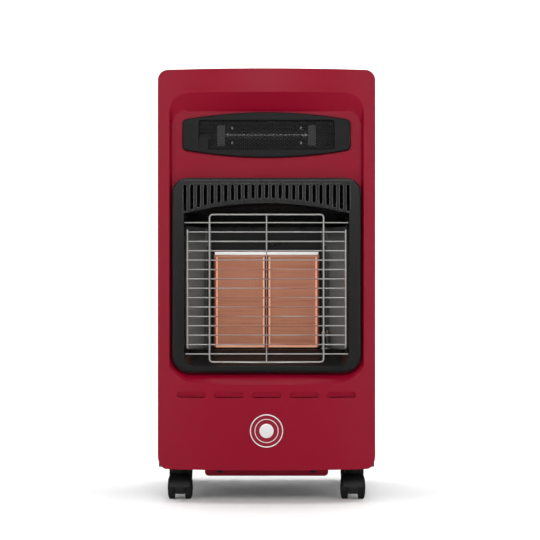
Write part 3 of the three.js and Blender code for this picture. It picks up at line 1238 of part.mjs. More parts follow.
// Fluted knob with a pointer ridge and a D-shaped bore.
function controlKnob() {
  const top = KNOB_FOOT + KNOB_HEIGHT;
  const body = turned([
    [0, KNOB_FOOT], [KNOB_RADIUS, KNOB_FOOT], [KNOB_RADIUS, KNOB_FOOT + 3], [KNOB_RADIUS - 2, KNOB_FOOT + 4.5],
    [KNOB_RADIUS - 3, top - 3], [KNOB_RADIUS - 4, top - 1.5], [0, top - 1]], 20).translate(KNOB_X, CONTROL_Y, 0);
  const pointer = box(KNOB_X - 1.2, KNOB_X + 1.2, CONTROL_Y - KNOB_RADIUS + 4.5, CONTROL_Y - 4, top - 5, top);
  const flutes = [];
  for (let i = 0; i < KNOB_FLUTES; i += 1) {
    const angle = 2 * Math.PI * (i + 0.5) / KNOB_FLUTES;
    flutes.push(cylinder(2, KNOB_FOOT + 4, top + 2, 6).translate(
      KNOB_X + (KNOB_RADIUS - 1) * Math.cos(angle), CONTROL_Y + (KNOB_RADIUS - 1) * Math.sin(angle), 0));
  }
  const bore = cylinder(SPINDLE_RADIUS + GAP, KNOB_FOOT - 1, KNOB_FOOT + KNOB_BORE, 20).translate(KNOB_X, CONTROL_Y, 0);
  const key = box(KNOB_X - 5, KNOB_X + 5, CONTROL_Y + SPINDLE_FLAT + GAP, CONTROL_Y + 5, KNOB_FOOT + 3 + GAP, top);
  return cut(join(body, pointer), ...flutes, cut(bore, key));
}

// Spark igniter: a barrel under the well floor and the push button in it.
function igniterBody() {
  const top = WELL_UNDER - GAP;
  return turned([
    [0, top - IGNITER_LENGTH], [6, top - IGNITER_LENGTH], [6, top - IGNITER_LENGTH + 8], [BUTTON_RADIUS + 2, top - 30],
    [BUTTON_RADIUS + 2, top - 3], [BUTTON_RADIUS + 4, top - 3], [BUTTON_RADIUS + 4, top],
    [BUTTON_RADIUS + GAP, top], [BUTTON_RADIUS + GAP, BUTTON_FOOT - BUTTON_TRAVEL - GAP],
    [0, BUTTON_FOOT - BUTTON_TRAVEL - GAP]], 14).translate(IGNITER_X, CONTROL_Y, 0);
}

function igniterButton() {
  const top = WELL_FLOOR + BUTTON_TRAVEL + 2;
  return turned([
    [0, BUTTON_FOOT], [BUTTON_RADIUS, BUTTON_FOOT], [BUTTON_RADIUS, top - 1.2], [BUTTON_RADIUS - 1.2, top],
    [BUTTON_RADIUS - 3, top], [0, top - 1]], 14).translate(IGNITER_X, CONTROL_Y, 0);
}

// Switch housing: bezel on the well floor and a can through it, with the rocker's pocket.
function switchBody(x) {
  const y = CONTROL_Y;
  const bezel = box(x - SWITCH_HALF, x + SWITCH_HALF, y - SWITCH_LENGTH / 2, y + SWITCH_LENGTH / 2,
    WELL_FLOOR + GAP, WELL_FLOOR + GAP + 2);
  const can = box(x - CAN_HALF, x + CAN_HALF, y - CAN_LENGTH / 2, y + CAN_LENGTH / 2, WELL_FLOOR - 20, WELL_FLOOR + 1);
  const pocket = box(x - ROCKER_HALF - GAP, x + ROCKER_HALF + GAP, y - ROCKER_REACH - GAP, y + ROCKER_REACH + GAP,
    WELL_FLOOR - 9, WELL_FLOOR + 5);
  return cut(join(bezel, can), pocket);
}

// Rocker drawn level about its pivot, then tilted to its off position.
function rocker(x) {
  const tip = ROCKER_REACH * 0.92;
  const section = polygon([
    [-4, -5], [4, -5], [tip, 0.5], [tip, 4], [0, 2], [-tip, 4], [-tip, 0.5]]);
  return alongX(section, -ROCKER_HALF, ROCKER_HALF).rotateX(-ROCKER_TILT * Math.PI / 180)
    .translate(x, CONTROL_Y, WELL_FLOOR + GAP + 0.5);
}

// Mains inlet in the back wall of the top cover, with three pins in its recess.
function mainsInlet() {
  const face = BODY_BACK + GAP;
  const inner = INLET_HALF - INLET_RIM;
  const innerHigh = INLET_HIGH - INLET_RIM;
  const flange = box(INLET_X - INLET_HALF, INLET_X + INLET_HALF, face, face + 2, INLET_Z - INLET_HIGH, INLET_Z + INLET_HIGH);
  const can = box(INLET_X - inner, INLET_X + inner, face - INLET_DEPTH, face + 1, INLET_Z - innerHigh, INLET_Z + innerHigh);
  const recessBox = box(INLET_X - inner + 2, INLET_X + inner - 2, face - INLET_DEPTH + 2, face + 3,
    INLET_Z - innerHigh + 2, INLET_Z + innerHigh - 2);
  const pins = [-6, 0, 6].map((dx) => box(INLET_X + dx - 1, INLET_X + dx + 1, face - INLET_DEPTH + 1, face - 2,
    INLET_Z - 2, INLET_Z + 2));
  return join(cut(join(flange, can), recessBox), ...pins);
}

// ---------------------------------------------------------------- castors

// Hooded twin-wheel castor about its stem: the axle lies behind the stem by the trail.
function castorHousing() {
  const disc = toX(cylinder(HOOD_RADIUS, -HOOD_WIDTH / 2, HOOD_WIDTH / 2, 18)).translate(0, -TRAIL, WHEEL_RADIUS);
  const neck = turned([[0, WHEEL_RADIUS + 8], [13, WHEEL_RADIUS + 8], [15.5, CASTOR_HEIGHT - 6], [15.5, CASTOR_HEIGHT],
    [0, CASTOR_HEIGHT]], 12);
  const stem = turned([
    [0, CASTOR_HEIGHT - 2], [STEM_RADIUS, CASTOR_HEIGHT - 2], [STEM_RADIUS, BASE_TOP + GAP], [STEM_RADIUS + 3, BASE_TOP + GAP],
    [STEM_RADIUS + 3, BASE_TOP + 4], [STEM_RADIUS - 2, BASE_TOP + 12], [0, BASE_TOP + 12]], 10);
  const sides = [-1, 1].flatMap((side) => {
    const near = WEB_WIDTH / 2;
    const reach = HOOD_WIDTH;
    const pocket = toX(cylinder(WHEEL_RADIUS + POCKET_CLEAR, near, reach, 18));
    const trim = box(near, reach, -HOOD_RADIUS - 1, HOOD_RADIUS + 1, -WHEEL_RADIUS - 5, 2);
    return [pocket, trim].map((tool) => (side > 0 ? solid(tool) : solid(tool).mirror([1, 0, 0]))
      .translate([0, -TRAIL, WHEEL_RADIUS]));
  });
  const under = box(-HOOD_WIDTH, HOOD_WIDTH, -TRAIL - HOOD_RADIUS - 1, HOOD_RADIUS, -HOOD_RADIUS, WEB_BOTTOM);
  const axleHole = toX(cylinder(AXLE_RADIUS + 2 * GAP, -HOOD_WIDTH, HOOD_WIDTH, 8)).translate(0, -TRAIL, WHEEL_RADIUS);
  return cut(join(disc, neck, stem), ...sides, under, axleHole);
}

const WHEEL_START = WEB_WIDTH / 2 + 0.4;
const POCKET_CLEAR = 1.2;      // between a wheel and its hood
const AXLE_REACH = 9;         // how far the axle goes into each wheel
const WHEEL_SIDES = 14;

function castorAxle() {
  const half = WHEEL_START + AXLE_REACH - GAP;
  return toX(cylinder(AXLE_RADIUS, -half, half, 8)).translate(0, -TRAIL, WHEEL_RADIUS);
}

// Wheel with a blind bore and a domed outer face; it stands on the flat of one of its sides.
function castorWheel(side) {
  const bore = AXLE_RADIUS + GAP;
  const tread = WHEEL_RADIUS / Math.cos(Math.PI / WHEEL_SIDES);
  const wheel = toX(turned([
    [0, AXLE_REACH], [bore, AXLE_REACH], [bore, 0], [tread - 1, 0], [tread, 1],
    [tread, WHEEL_WIDTH - 4.6], [tread - 2.2, WHEEL_WIDTH - 2], [tread / 2, WHEEL_WIDTH],
    [0, WHEEL_WIDTH]], WHEEL_SIDES)).rotateX(Math.PI / WHEEL_SIDES).translate(WHEEL_START, 0, 0);
  const turnedOut = side > 0 ? solid(wheel) : solid(wheel).mirror([1, 0, 0]);
  return turnedOut.translate([0, -TRAIL, WHEEL_RADIUS]);
}

function addCastor(name, x, y) {
  const castor = new THREE.Group();
  castor.position.set(x, y, 0);
  heater.add(castor);
  add(`castor_${name}`, castorHousing(), blackPlastic, castor);
  add(`axle_${name}`, castorAxle(), greySteel, castor);
  add(`wheel_${name}_outer`, castorWheel(Math.sign(x)), blackPlastic, castor);
  add(`wheel_${name}_inner`, castorWheel(-Math.sign(x)), blackPlastic, castor);
}

// ---------------------------------------------------------------- the heater

add('front_panel', frontPanel(), redPaint);
add('badge', badge(), brightWire);
add('front_surround', frontSurround(), blackPlastic);
add('wire_guard', wireGuard(), brightWire);
add('window_bezel', windowBezel(), blackPlastic);
add('window_mesh', windowMesh(), darkEnamel);

add('left_plaque', plaque(-1), plaqueClay);
add('right_plaque', plaque(1), plaqueClay);
add('burner_chamber', burnerChamber(), greySteel);
add('burner_frame', burnerFrame(), brightWire);
add('top_strip', topStrip(), brightWire);
add('left_reflector', reflector(-1), greySteel);
add('right_reflector', reflector(1), greySteel);
add('fire_hood', fireHood(), darkEnamel);
add('fire_shelf', fireShelf(), greySteel);
add('venturi_tube', venturiTube(), greySteel);
add('injector', injector(), brass);

add('gas_valve', gasValve(), brass);
add('gas_inlet', gasInlet(), brass);
add('gas_pipe', gasPipe(), copper);
add('pilot_pipe', pilotPipe(), copper);
add('pilot_burner', pilotBurner(), greySteel);
add('thermocouple', thermocouple(), copper);
add('spark_electrode', sparkElectrode(), whiteCeramic);

add('element_trough', elementTrough(), greySteel);
add('quartz_tube', quartzTube(), quartz);
add('left_tube_holder', tubeHolder(-1), whiteCeramic);
add('right_tube_holder', tubeHolder(1), whiteCeramic);

add('left_side_panel', sidePanel(-1), blackPaint);
add('right_side_panel', sidePanel(1), blackPaint);
add('base_tray', baseTray(), blackPaint);
add('partition', partition(), greySteel);
add('rear_cover', rearCover(), blackPaint);
add('top_cover', topCover(), blackPlastic);

add('return_collar', returnCollar(), greySteel);
add('valve_spindle', valveSpindle(), brass);
add('control_knob', controlKnob(), blackPlastic);
add('igniter_body', igniterBody(), blackPlastic);
add('igniter_button', igniterButton(), redPaint);
['right', 'left'].forEach((side, i) => {
  add(`${side}_switch_body`, switchBody(SWITCH_X[i]), blackPlastic);
  add(`${side}_rocker`, rocker(SWITCH_X[i]), redPaint);
});
add('mains_inlet', mainsInlet(), blackPlastic);

CASTOR_PLACES.forEach(([name, x, y]) => addCastor(name, x, y));

export default heater;
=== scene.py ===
"""Looks of a portable cabinet heater: a red bowed front, a gas fire behind a wire guard
and a quartz element behind a mesh, in a black steel cabinet on castors.

Lengths are in metres, +Z is up and the front faces -Y. The origin is on the floor under the middle.
"""

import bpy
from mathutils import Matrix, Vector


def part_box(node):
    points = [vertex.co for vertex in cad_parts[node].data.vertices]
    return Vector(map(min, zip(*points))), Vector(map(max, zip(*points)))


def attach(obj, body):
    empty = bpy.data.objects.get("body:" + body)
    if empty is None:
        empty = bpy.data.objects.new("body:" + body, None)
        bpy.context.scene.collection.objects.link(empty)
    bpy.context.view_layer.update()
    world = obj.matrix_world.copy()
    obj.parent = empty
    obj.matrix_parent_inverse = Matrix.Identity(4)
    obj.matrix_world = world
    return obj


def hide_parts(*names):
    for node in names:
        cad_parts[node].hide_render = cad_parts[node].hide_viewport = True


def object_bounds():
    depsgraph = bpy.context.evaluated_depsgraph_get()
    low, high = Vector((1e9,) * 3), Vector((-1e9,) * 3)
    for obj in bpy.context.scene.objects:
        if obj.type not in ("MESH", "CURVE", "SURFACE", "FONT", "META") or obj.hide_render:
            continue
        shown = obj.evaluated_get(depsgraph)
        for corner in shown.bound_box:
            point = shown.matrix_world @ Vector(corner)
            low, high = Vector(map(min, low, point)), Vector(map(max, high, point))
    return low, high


bl_info = {
    "name": "Cabinet heater",
    "version": (1, 0, 0),
    "blender": (4, 5, 0),
    "location": "3D View > Sidebar > Heater",
    "description": "Builds the finished pieces of a portable cabinet heater round its fixed frame",
    "category": "Object",
}

import math

import bmesh
import bpy
from mathutils import Matrix, Vector

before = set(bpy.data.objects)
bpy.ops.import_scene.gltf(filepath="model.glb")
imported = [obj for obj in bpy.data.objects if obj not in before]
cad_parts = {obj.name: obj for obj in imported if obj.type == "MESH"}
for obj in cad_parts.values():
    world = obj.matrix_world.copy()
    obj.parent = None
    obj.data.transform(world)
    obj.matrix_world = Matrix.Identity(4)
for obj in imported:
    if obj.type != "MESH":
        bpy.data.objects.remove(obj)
CAD_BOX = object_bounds()
BODY = "cabinet"
STEM_X = {"front_left": -0.1492, "front_right": 0.1492, "back_left": -0.1605, "back_right": 0.1605}


# ---------------------------------------------------------------- settings


def length(name, description, default):
    return bpy.props.FloatProperty(
        name=name, description=description, default=default, min=0.0, unit="LENGTH", precision=4
    )


def factor(name, description, default):
    return bpy.props.FloatProperty(name=name, description=description, default=default, min=0.0)


def count(name, description, default):
    return bpy.props.IntProperty(name=name, description=description, default=default, min=1)


def colour(name, description, default):
    return bpy.props.FloatVectorProperty(
        name=name, description=description, default=default, size=3, min=0.0, max=1.0, subtype="COLOR"
    )


class HeaterPanelSettings(bpy.types.PropertyGroup):
    width: length("Width", "Width of the red front", 0.370)
    height: length("Height", "Top edge of the red front above the floor", 0.735)
    foot: length("Foot", "Lower edge of the red front above the floor", 0.057)
    bow: length("Bow", "How far the middle of the front stands out", 0.028)
    corner: length("Top corner", "Radius of the upper corners", 0.017)
    fold: length("Folded side", "Depth of the sides behind the corner", 0.032)
    lip: length("Lip", "Inward edge at the back of the folded sides", 0.013)
    sheet: length("Sheet", "Thickness of the pressed steel", 0.0012)
    field_top: length("Field top", "Upper edge of the flat field", 0.665)
    field_bottom: length("Field bottom", "Lower edge of the flat field", 0.219)
    field_half: length("Field half width", "Half the width of the flat field", 0.161)
    edge: length("Edge", "Rounding of the pressed edges", 0.0026)
    foot_roll: factor("Foot roll", "How far the foot of the pan curves; 1 is straight", 2.2)
    louvres: count("Louvres", "Number of pressed louvres", 5)
    louvre_pitch: length("Louvre pitch", "Distance from one louvre to the next", 0.0635)
    louvre_width: length("Louvre width", "Width of one louvre", 0.050)
    louvre_height: length("Louvre height", "Height of one louvre", 0.010)
    louvre_bottom: length("Louvre foot", "Lower edge of the louvres above the floor", 0.179)
    badge_radius: length("Badge radius", "Radius of the plain round badge", 0.0282)
    badge_height: length("Badge height", "Middle of the badge above the floor", 0.1237)


class HeaterFireSettings(bpy.types.PropertyGroup):
    bottom: length("Bottom", "Lower edge of the black surround", 0.221)
    top: length("Top", "Upper edge of the black surround", 0.551)
    half: length("Half width", "Half the width of the surround", 0.1603)
    wall: length("Wall", "Thickness of the moulding", 0.0022)
    edge: length("Edge", "Rounding of the outer edge", 0.005)
    slots: count("Slots", "Number of upright air slots", 25)
    slot_pitch: length("Slot pitch", "Distance from one air slot to the next", 0.0115)
    slot_width: length("Slot width", "Width of one air slot", 0.0056)
    wire: length("Wire", "Thickness of the upright guard wires", 0.003)
    row_wire: length("Row wire", "Thickness of the level guard wires", 0.0023)
    rows: count("Rows", "Number of level guard wires", 15)
    hole_pitch: length("Burner hole pitch", "Distance between the gas holes of a plaque", 0.0026)


class HeaterWindowSettings(bpy.types.PropertyGroup):
    half: length("Half width", "Half the width of the window's bezel", 0.143)
    middle: length("Middle", "Middle of the window above the floor", 0.6247)
    side_half_height: length("Half height at the sides", "Half the bezel's height at its sides", 0.027)
    arch: length("Arch", "Extra half height in the middle", 0.0117)
    corner: length("Corner", "Radius of the bezel's corners", 0.008)
    mesh_pitch: length("Mesh pitch", "Width of one diamond of the mesh", 0.0072)
    mesh_rise: length("Mesh rise", "Height of one diamond of the mesh", 0.0046)
    strand: length("Mesh strand", "Width of one strand of the mesh", 0.0011)
    coil_turns: count("Coil turns", "Turns of the heating coil in the tube", 46)


class HeaterColourSettings(bpy.types.PropertyGroup):
    red: colour("Red", "Paint of the front", (0.186, 0.0012, 0.0125))
    black: colour("Black", "Paint of the cabinet", (0.012, 0.012, 0.0125))
    plastic: colour("Plastic", "Moulded surround, knob and castors", (0.0060, 0.0060, 0.0062))
    steel: colour("Steel", "Bare sheet metal", (0.42, 0.42, 0.41))
    wire: colour("Wire", "Plated wire and strips", (0.36, 0.36, 0.35))
    brass: colour("Brass", "Gas fittings", (0.62, 0.42, 0.16))
    copper: colour("Copper", "Gas pipes", (0.66, 0.30, 0.17))
    clay: colour("Clay", "Burner plaques", (0.44, 0.215, 0.132))
    ceramic: colour("Ceramic", "Insulators", (0.045, 0.044, 0.042))
    signal: colour("Signal", "Igniter button and rockers", (0.42, 0.012, 0.015))


class HeaterStageSettings(bpy.types.PropertyGroup):
    floor: colour("Floor", "Colour of the floor and the backdrop", (0.9, 0.9, 0.9))
    distance: length("Camera distance", "Camera in front of the origin", 3.380)
    camera_height: length("Camera height", "Camera above the floor", 0.371)
    lens: bpy.props.FloatProperty(
        name="Lens", description="Focal length in millimetres", default=125.5, min=10.0
    )


SETTINGS = {
    "heater_panel": HeaterPanelSettings,
    "heater_fire": HeaterFireSettings,
    "heater_window": HeaterWindowSettings,
    "heater_colours": HeaterColourSettings,
    "heater_stage": HeaterStageSettings,
}


def setting(group):
    """One group of the scene's settings."""
    return getattr(bpy.context.scene, "heater_" + group)


# ---------------------------------------------------------------- mesh helpers

WELD, FRAME_WELD = 2e-5, 2e-6
SHARPEST_FOLD, INWARD_FOLD_SHARE = 18.0, 0.3
# A corner lies on a known surface within this distance, and its face looks the surface's way.
ON_SURFACE, SAME_WAY = 6e-5, 0.97


def arc(cu, cv, ru, rv, start, end, steps):
    """Points of an elliptical arc, angles in degrees."""
    angles = [math.radians(start + (end - start) * i / steps) for i in range(steps + 1)]
    return [(cu + ru * math.cos(a), cv + rv * math.sin(a)) for a in angles]


def rounded(u0, v0, u1, v1, upper, low, steps):
    """Rectangle with one radius for the upper and one for the lower corners."""
    return tidy_outline(
        arc(u0 + low, v0 + low, low, low, 180, 270, steps)
        + arc(u1 - low, v0 + low, low, low, 270, 360, steps)
        + arc(u1 - upper, v1 - upper, upper, upper, 0, 90, steps)
        + arc(u0 + upper, v1 - upper, upper, upper, 90, 180, steps)
    )


def tidy_outline(points):
    """The same outline without doubled points."""
    kept = []
    for point in points:
        if not kept or math.dist(point, kept[-1]) > 1e-6:
            kept.append(point)
    if math.dist(kept[0], kept[-1]) < 1e-6:
        kept.pop()
    return kept


def opened(mesh, weld=WELD):
    """The mesh as a bmesh with its doubled points joined."""
    bm = bmesh.new()
    bm.from_mesh(mesh)
    bmesh.ops.remove_doubles(bm, verts=bm.verts, dist=weld)
    return bm


def to_mesh(bm, mesh=None):
    """The bmesh written to a mesh, a new one unless one is given."""
    if mesh is None:
        mesh = bpy.data.meshes.new("form")
    bm.to_mesh(mesh)
    bm.free()
    return mesh


def to_solid(bm):
    """The bmesh as a mesh whose faces look outwards."""
    bmesh.ops.recalc_face_normals(bm, faces=bm.faces)
    return to_mesh(bm)


def loft(rings):
    """Closed solid through rings with as many 3-D points each."""
    bm = bmesh.new()
    loops = [[bm.verts.new(p) for p in ring] for ring in rings]
    size = len(rings[0])
    for low, high in zip(loops, loops[1:]):
        for i in range(size):
            j = (i + 1) % size
            bm.faces.new((low[i], low[j], high[j], high[i]))
    bm.faces.new(loops[0])
    bm.faces.new(loops[-1])
    return to_solid(bm)


def at_depth(outline, y):
    return [(u, y, v) for u, v in outline]


def along_x(outline, x0, x1):
    return loft([[(x, u, v) for u, v in outline] for x in (x0, x1)])


def along_y(outline, y0, y1):
    return loft([at_depth(outline, y) for y in (y0, y1)])


def along_z(outline, z0, z1):
    return loft([[(u, v, z) for u, v in outline] for z in (z0, z1)])


def block(x0, x1, y0, y1, z0, z1):
    return along_z([(x0, y0), (x1, y0), (x1, y1), (x0, y1)], z0, z1)


def turned(profile, steps):
    """Closed solid of revolution about Z through (radius, height) pairs, its ends on the axis."""
    bm = bmesh.new()
    rings = []
    for radius, height in profile:
        if radius < 1e-7:
            rings.append([bm.verts.new((0, 0, height))])
        else:
            rings.append([
                bm.verts.new((radius * math.cos(2 * math.pi * i / steps),
                              radius * math.sin(2 * math.pi * i / steps), height))
                for i in range(steps)])
    for low, high in zip(rings, rings[1:]):
        for i in range(steps):
            j = (i + 1) % steps
            corners = [low[i % len(low)], low[j % len(low)], high[j % len(high)], high[i % len(high)]]
            face = [v for k, v in enumerate(corners) if v not in corners[:k]]
            if len(face) > 2:
                bm.faces.new(face)
    return to_solid(bm)


def disc(radius, low, high, steps):
    return turned([(0.0, low), (radius, low), (radius, high), (0.0, high)], steps)


def moved(mesh, matrix):
    mesh.transform(matrix)
    if matrix.determinant() < 0:
        mesh.flip_normals()
    return mesh


def shifted(mesh, x=0.0, y=0.0, z=0.0):
    return moved(mesh, Matrix.Translation((x, y, z)))


def turn(degrees, axis):
    return Matrix.Rotation(math.radians(degrees), 4, axis)


def merged(meshes):
    """Several meshes as one; their materials keep their numbers."""
    bm = bmesh.new()
    for mesh in meshes:
        bm.from_mesh(mesh)
        bpy.data.meshes.remove(mesh)
    return to_mesh(bm)


def shown(data, name="form"):
    """An object of the scene for a mesh, a lamp or a camera."""
    obj = bpy.data.objects.new(name, data)
    bpy.context.scene.collection.objects.link(obj)
    return obj


def baked(obj):
    """The object's mesh with its modifiers applied; the object goes away."""
    graph = bpy.context.evaluated_depsgraph_get()
    graph.update()
    mesh = bpy.data.meshes.new_from_object(obj.evaluated_get(graph))
    bpy.data.objects.remove(obj)
    return mesh


def modified(mesh, kind, **settings):
    """The mesh with one modifier of that kind applied."""
    obj = shown(mesh)
    modifier = obj.modifiers.new("form", kind)
    for key, value in settings.items():
        setattr(modifier, key, value)
    return baked(obj)


def combined(mesh, operation, tools):
    """Boolean of a mesh with each of the tools in turn."""
    body = shown(mesh)
    helpers = []
    for tool in tools:
        helper = shown(tool)
        helpers.append(helper)
        modifier = body.modifiers.new("form", "BOOLEAN")
        modifier.operation = operation
        modifier.solver = "EXACT"
        modifier.object = helper
    result = baked(body)
    for helper in helpers:
        bpy.data.objects.remove(helper)
    if not result.polygons:
        raise RuntimeError("a boolean left nothing of the piece")
    return result


def cut(mesh, *tools):
    return combined(mesh, "DIFFERENCE", tools)


def joined(mesh, *tools):
    return combined(mesh, "UNION", tools)


def common(mesh, tool):
    return combined(mesh, "INTERSECT", [tool])


def folded(mesh, width):
    """Rounds the folds of a sheet, the inward ones by a smaller share of the width."""
    bm = opened(mesh)
    weight = bm.edges.layers.float.new("bevel_weight_edge")
    for edge in bm.edges:
        if edge.calc_face_angle(0.0) > math.radians(SHARPEST_FOLD):
            edge[weight] = 1.0 if edge.is_convex else INWARD_FOLD_SHARE
    return modified(to_mesh(bm, mesh), "BEVEL", limit_method="WEIGHT", width=width, segments=4,
                    use_clamp_overlap=True)


def softened(mesh, width, sharpest=30.0):
    """Rounds the edges of a mesh and smooths its curved faces."""
    bm = opened(mesh)
    bmesh.ops.dissolve_degenerate(bm, edges=bm.edges, dist=WELD)
    for face in bm.faces:
        face.smooth = True
    mesh = to_mesh(bm, mesh)
    if width:
        mesh = modified(mesh, "BEVEL", limit_method="ANGLE", angle_limit=math.radians(sharpest), width=width,
                        segments=2, miter_outer="MITER_ARC", use_clamp_overlap=True)
    mesh.set_sharp_from_angle(angle=math.radians(max(sharpest, 30.0) + 8))
    return modified(mesh, "WEIGHTED_NORMAL", keep_sharp=True)


def smoothed(mesh):
    """Smooth faces with sharp edges between steep ones."""
    for face in mesh.polygons:
        face.use_smooth = True
    mesh.set_sharp_from_angle(angle=math.radians(40))
    return mesh


def followed(mesh, surfaces):
    """Gives the faces that lie on known curved surfaces the normals of those surfaces."""
    normals = [Vector(corner.vector) for corner in mesh.corner_normals]
    for face in mesh.polygons:
        points = [mesh.vertices[v].co for v in face.vertices]
        for surface in surfaces:
            fits = [surface(p.x, p.z) for p in points]
            lies_on = all(abs(y - p.y) < ON_SURFACE for (y, _), p in zip(fits, points))
            if lies_on and face.normal.dot(fits[0][1]) > SAME_WAY:
                for corner, (_, normal) in zip(face.loop_indices, fits):
                    normals[corner] = normal
                break
    mesh.normals_split_custom_set(normals)
    return mesh


def frame_copy(node):
    """A welded copy of a node of the frame."""
    return to_mesh(opened(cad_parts[node].data, FRAME_WELD))


def place(name, mesh, body, slot, names, nodes=()):
    """Names a finished mesh, gives it the finishes of those names and hangs it on its body."""
    mesh.name = name
    for _ in range(len(names) - len(mesh.materials)):
        mesh.materials.append(None)
    for index, finish_name in enumerate(names):
        mesh.materials[index] = finish(finish_name)
    obj = shown(mesh, name)
    if nodes:
        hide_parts(*nodes)
    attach(obj, body)


def numbered(mesh, index):
    """The mesh with all its faces on one material number."""
    for _ in range(index + 1 - len(mesh.materials)):
        mesh.materials.append(None)
    mesh.polygons.foreach_set("material_index", [index] * len(mesh.polygons))
    return mesh


def dressed_node(node, slot, name, edge=0.0004, sharpest=30.0, body=BODY):
    """A node of the frame with softened edges and the finish of that name."""
    place("finished_" + node, softened(frame_copy(node), edge, sharpest), body, slot, [name], [node])


def new_node(tree, kind, links, settings):
    """Adds a node; links gives its inputs, each a socket to follow or a value."""
    made = tree.nodes.new(kind)
    for key, value in settings.items():
        setattr(made, key, value)
    for key, value in (links or {}).items():
        if isinstance(value, bpy.types.NodeSocket):
            tree.links.new(value, made.inputs[key])
        else:
            made.inputs[key].default_value = value
    return made


# ---------------------------------------------------------------- finishes


class Finish:
    """A material under construction: its node tree, its shader and short ways to add nodes."""

    def __init__(self, name, colour, roughness, metallic=0.0, **sockets):
        self.material = bpy.data.materials.new(name)
        self.material.use_nodes = True
        self.tree = self.material.node_tree
        self.shader = self.tree.nodes["Principled BSDF"]
        self.colour = colour
        self.shader.inputs["Base Color"].default_value = (*colour, 1.0)
        self.shader.inputs["Roughness"].default_value = roughness
        self.shader.inputs["Metallic"].default_value = metallic
        for name_of, value in sockets.items():
            self.shader.inputs[name_of.replace("_", " ")].default_value = value
        self.place = self.node("ShaderNodeTexCoord", output="Object")

    def node(self, kind, links=None, output=0, **settings):
        """An output of a new node."""
        return new_node(self.tree, kind, links, settings).outputs[output]

    def math(self, operation, *values):
        return self.node("ShaderNodeMath", dict(enumerate(values)), operation=operation)

    def along(self, axis):
        """How far a point of the surface lies along an axis."""
        return self.node("ShaderNodeSeparateXYZ", {"Vector": self.place}, axis)

    def aside(self):
        """How far a point of the surface lies from the middle plane."""
        return self.math("ABSOLUTE", self.along("X"))

    def noise(self, scale, detail=4.0, roughness=0.5, vector=None):
        return self.node("ShaderNodeTexNoise", {
            "Vector": vector or self.place, "Scale": scale, "Detail": detail, "Roughness": roughness}, "Fac")

    def streaks(self, stretch, detail, roughness=0.5):
        """Noise drawn out by a scale for each axis."""
        mapped = self.node("ShaderNodeMapping", {"Vector": self.place, "Scale": stretch})
        return self.noise(1.0, detail, roughness, mapped)

    def ranged(self, value, low, high, to_low, to_high):
        return self.node("ShaderNodeMapRange", {
            "Value": value, "From Min": low, "From Max": high, "To Min": to_low, "To Max": to_high}, "Result")

    def mixed(self, value, first, second):
        """Base colour that goes from the first to the second."""
        self.set("Base Color", self.node(
            "ShaderNodeMix", {"Factor": value, 6: first, 7: second}, 2, data_type="RGBA"))

    def shade(self, value, darkest, palest):
        """Base colour between two strengths of the finish's own colour."""
        self.mixed(value, *[
            (*[min(c * strength, 1.0) for c in self.colour], 1.0) for strength in (darkest, palest)])

    def tint(self, value, other):
        """Shaded colour that goes to another colour where value is 1."""
        self.mixed(value, self.shader.inputs["Base Color"].links[0].from_socket, (*other, 1.0))

    def set(self, socket, value):
        self.tree.links.new(value, self.shader.inputs[socket])

    def gloss(self, value, at_low, at_high, low=0.3, high=0.7):
        """Roughness that follows a value."""
        self.set("Roughness", self.ranged(value, low, high, at_low, at_high))

    def relief(self, height, strength, distance):
        self.set("Normal", self.node(
            "ShaderNodeBump", {"Height": height, "Strength": strength, "Distance": distance}))


def paint(name, share=1.0):
    """A colour of the settings, or a share of it."""
    return [c * share for c in getattr(setting("colours"), name)]


def clouded(name, colour, roughness, tone, gloss=None, grain=None, **sockets):
    """A finish whose colour, roughness and relief each follow a noise of their own.

    Each noise is (scale, detail, low, high); for the relief it is (scale, detail, strength, depth).
    """
    f = Finish(name, colour, roughness, **sockets)
    f.shade(f.noise(*tone[:2]), *tone[2:])
    if gloss:
        f.gloss(f.noise(*gloss[:2]), *gloss[2:])
    if grain:
        f.relief(f.noise(*grain[:2]), *grain[2:])
    return f


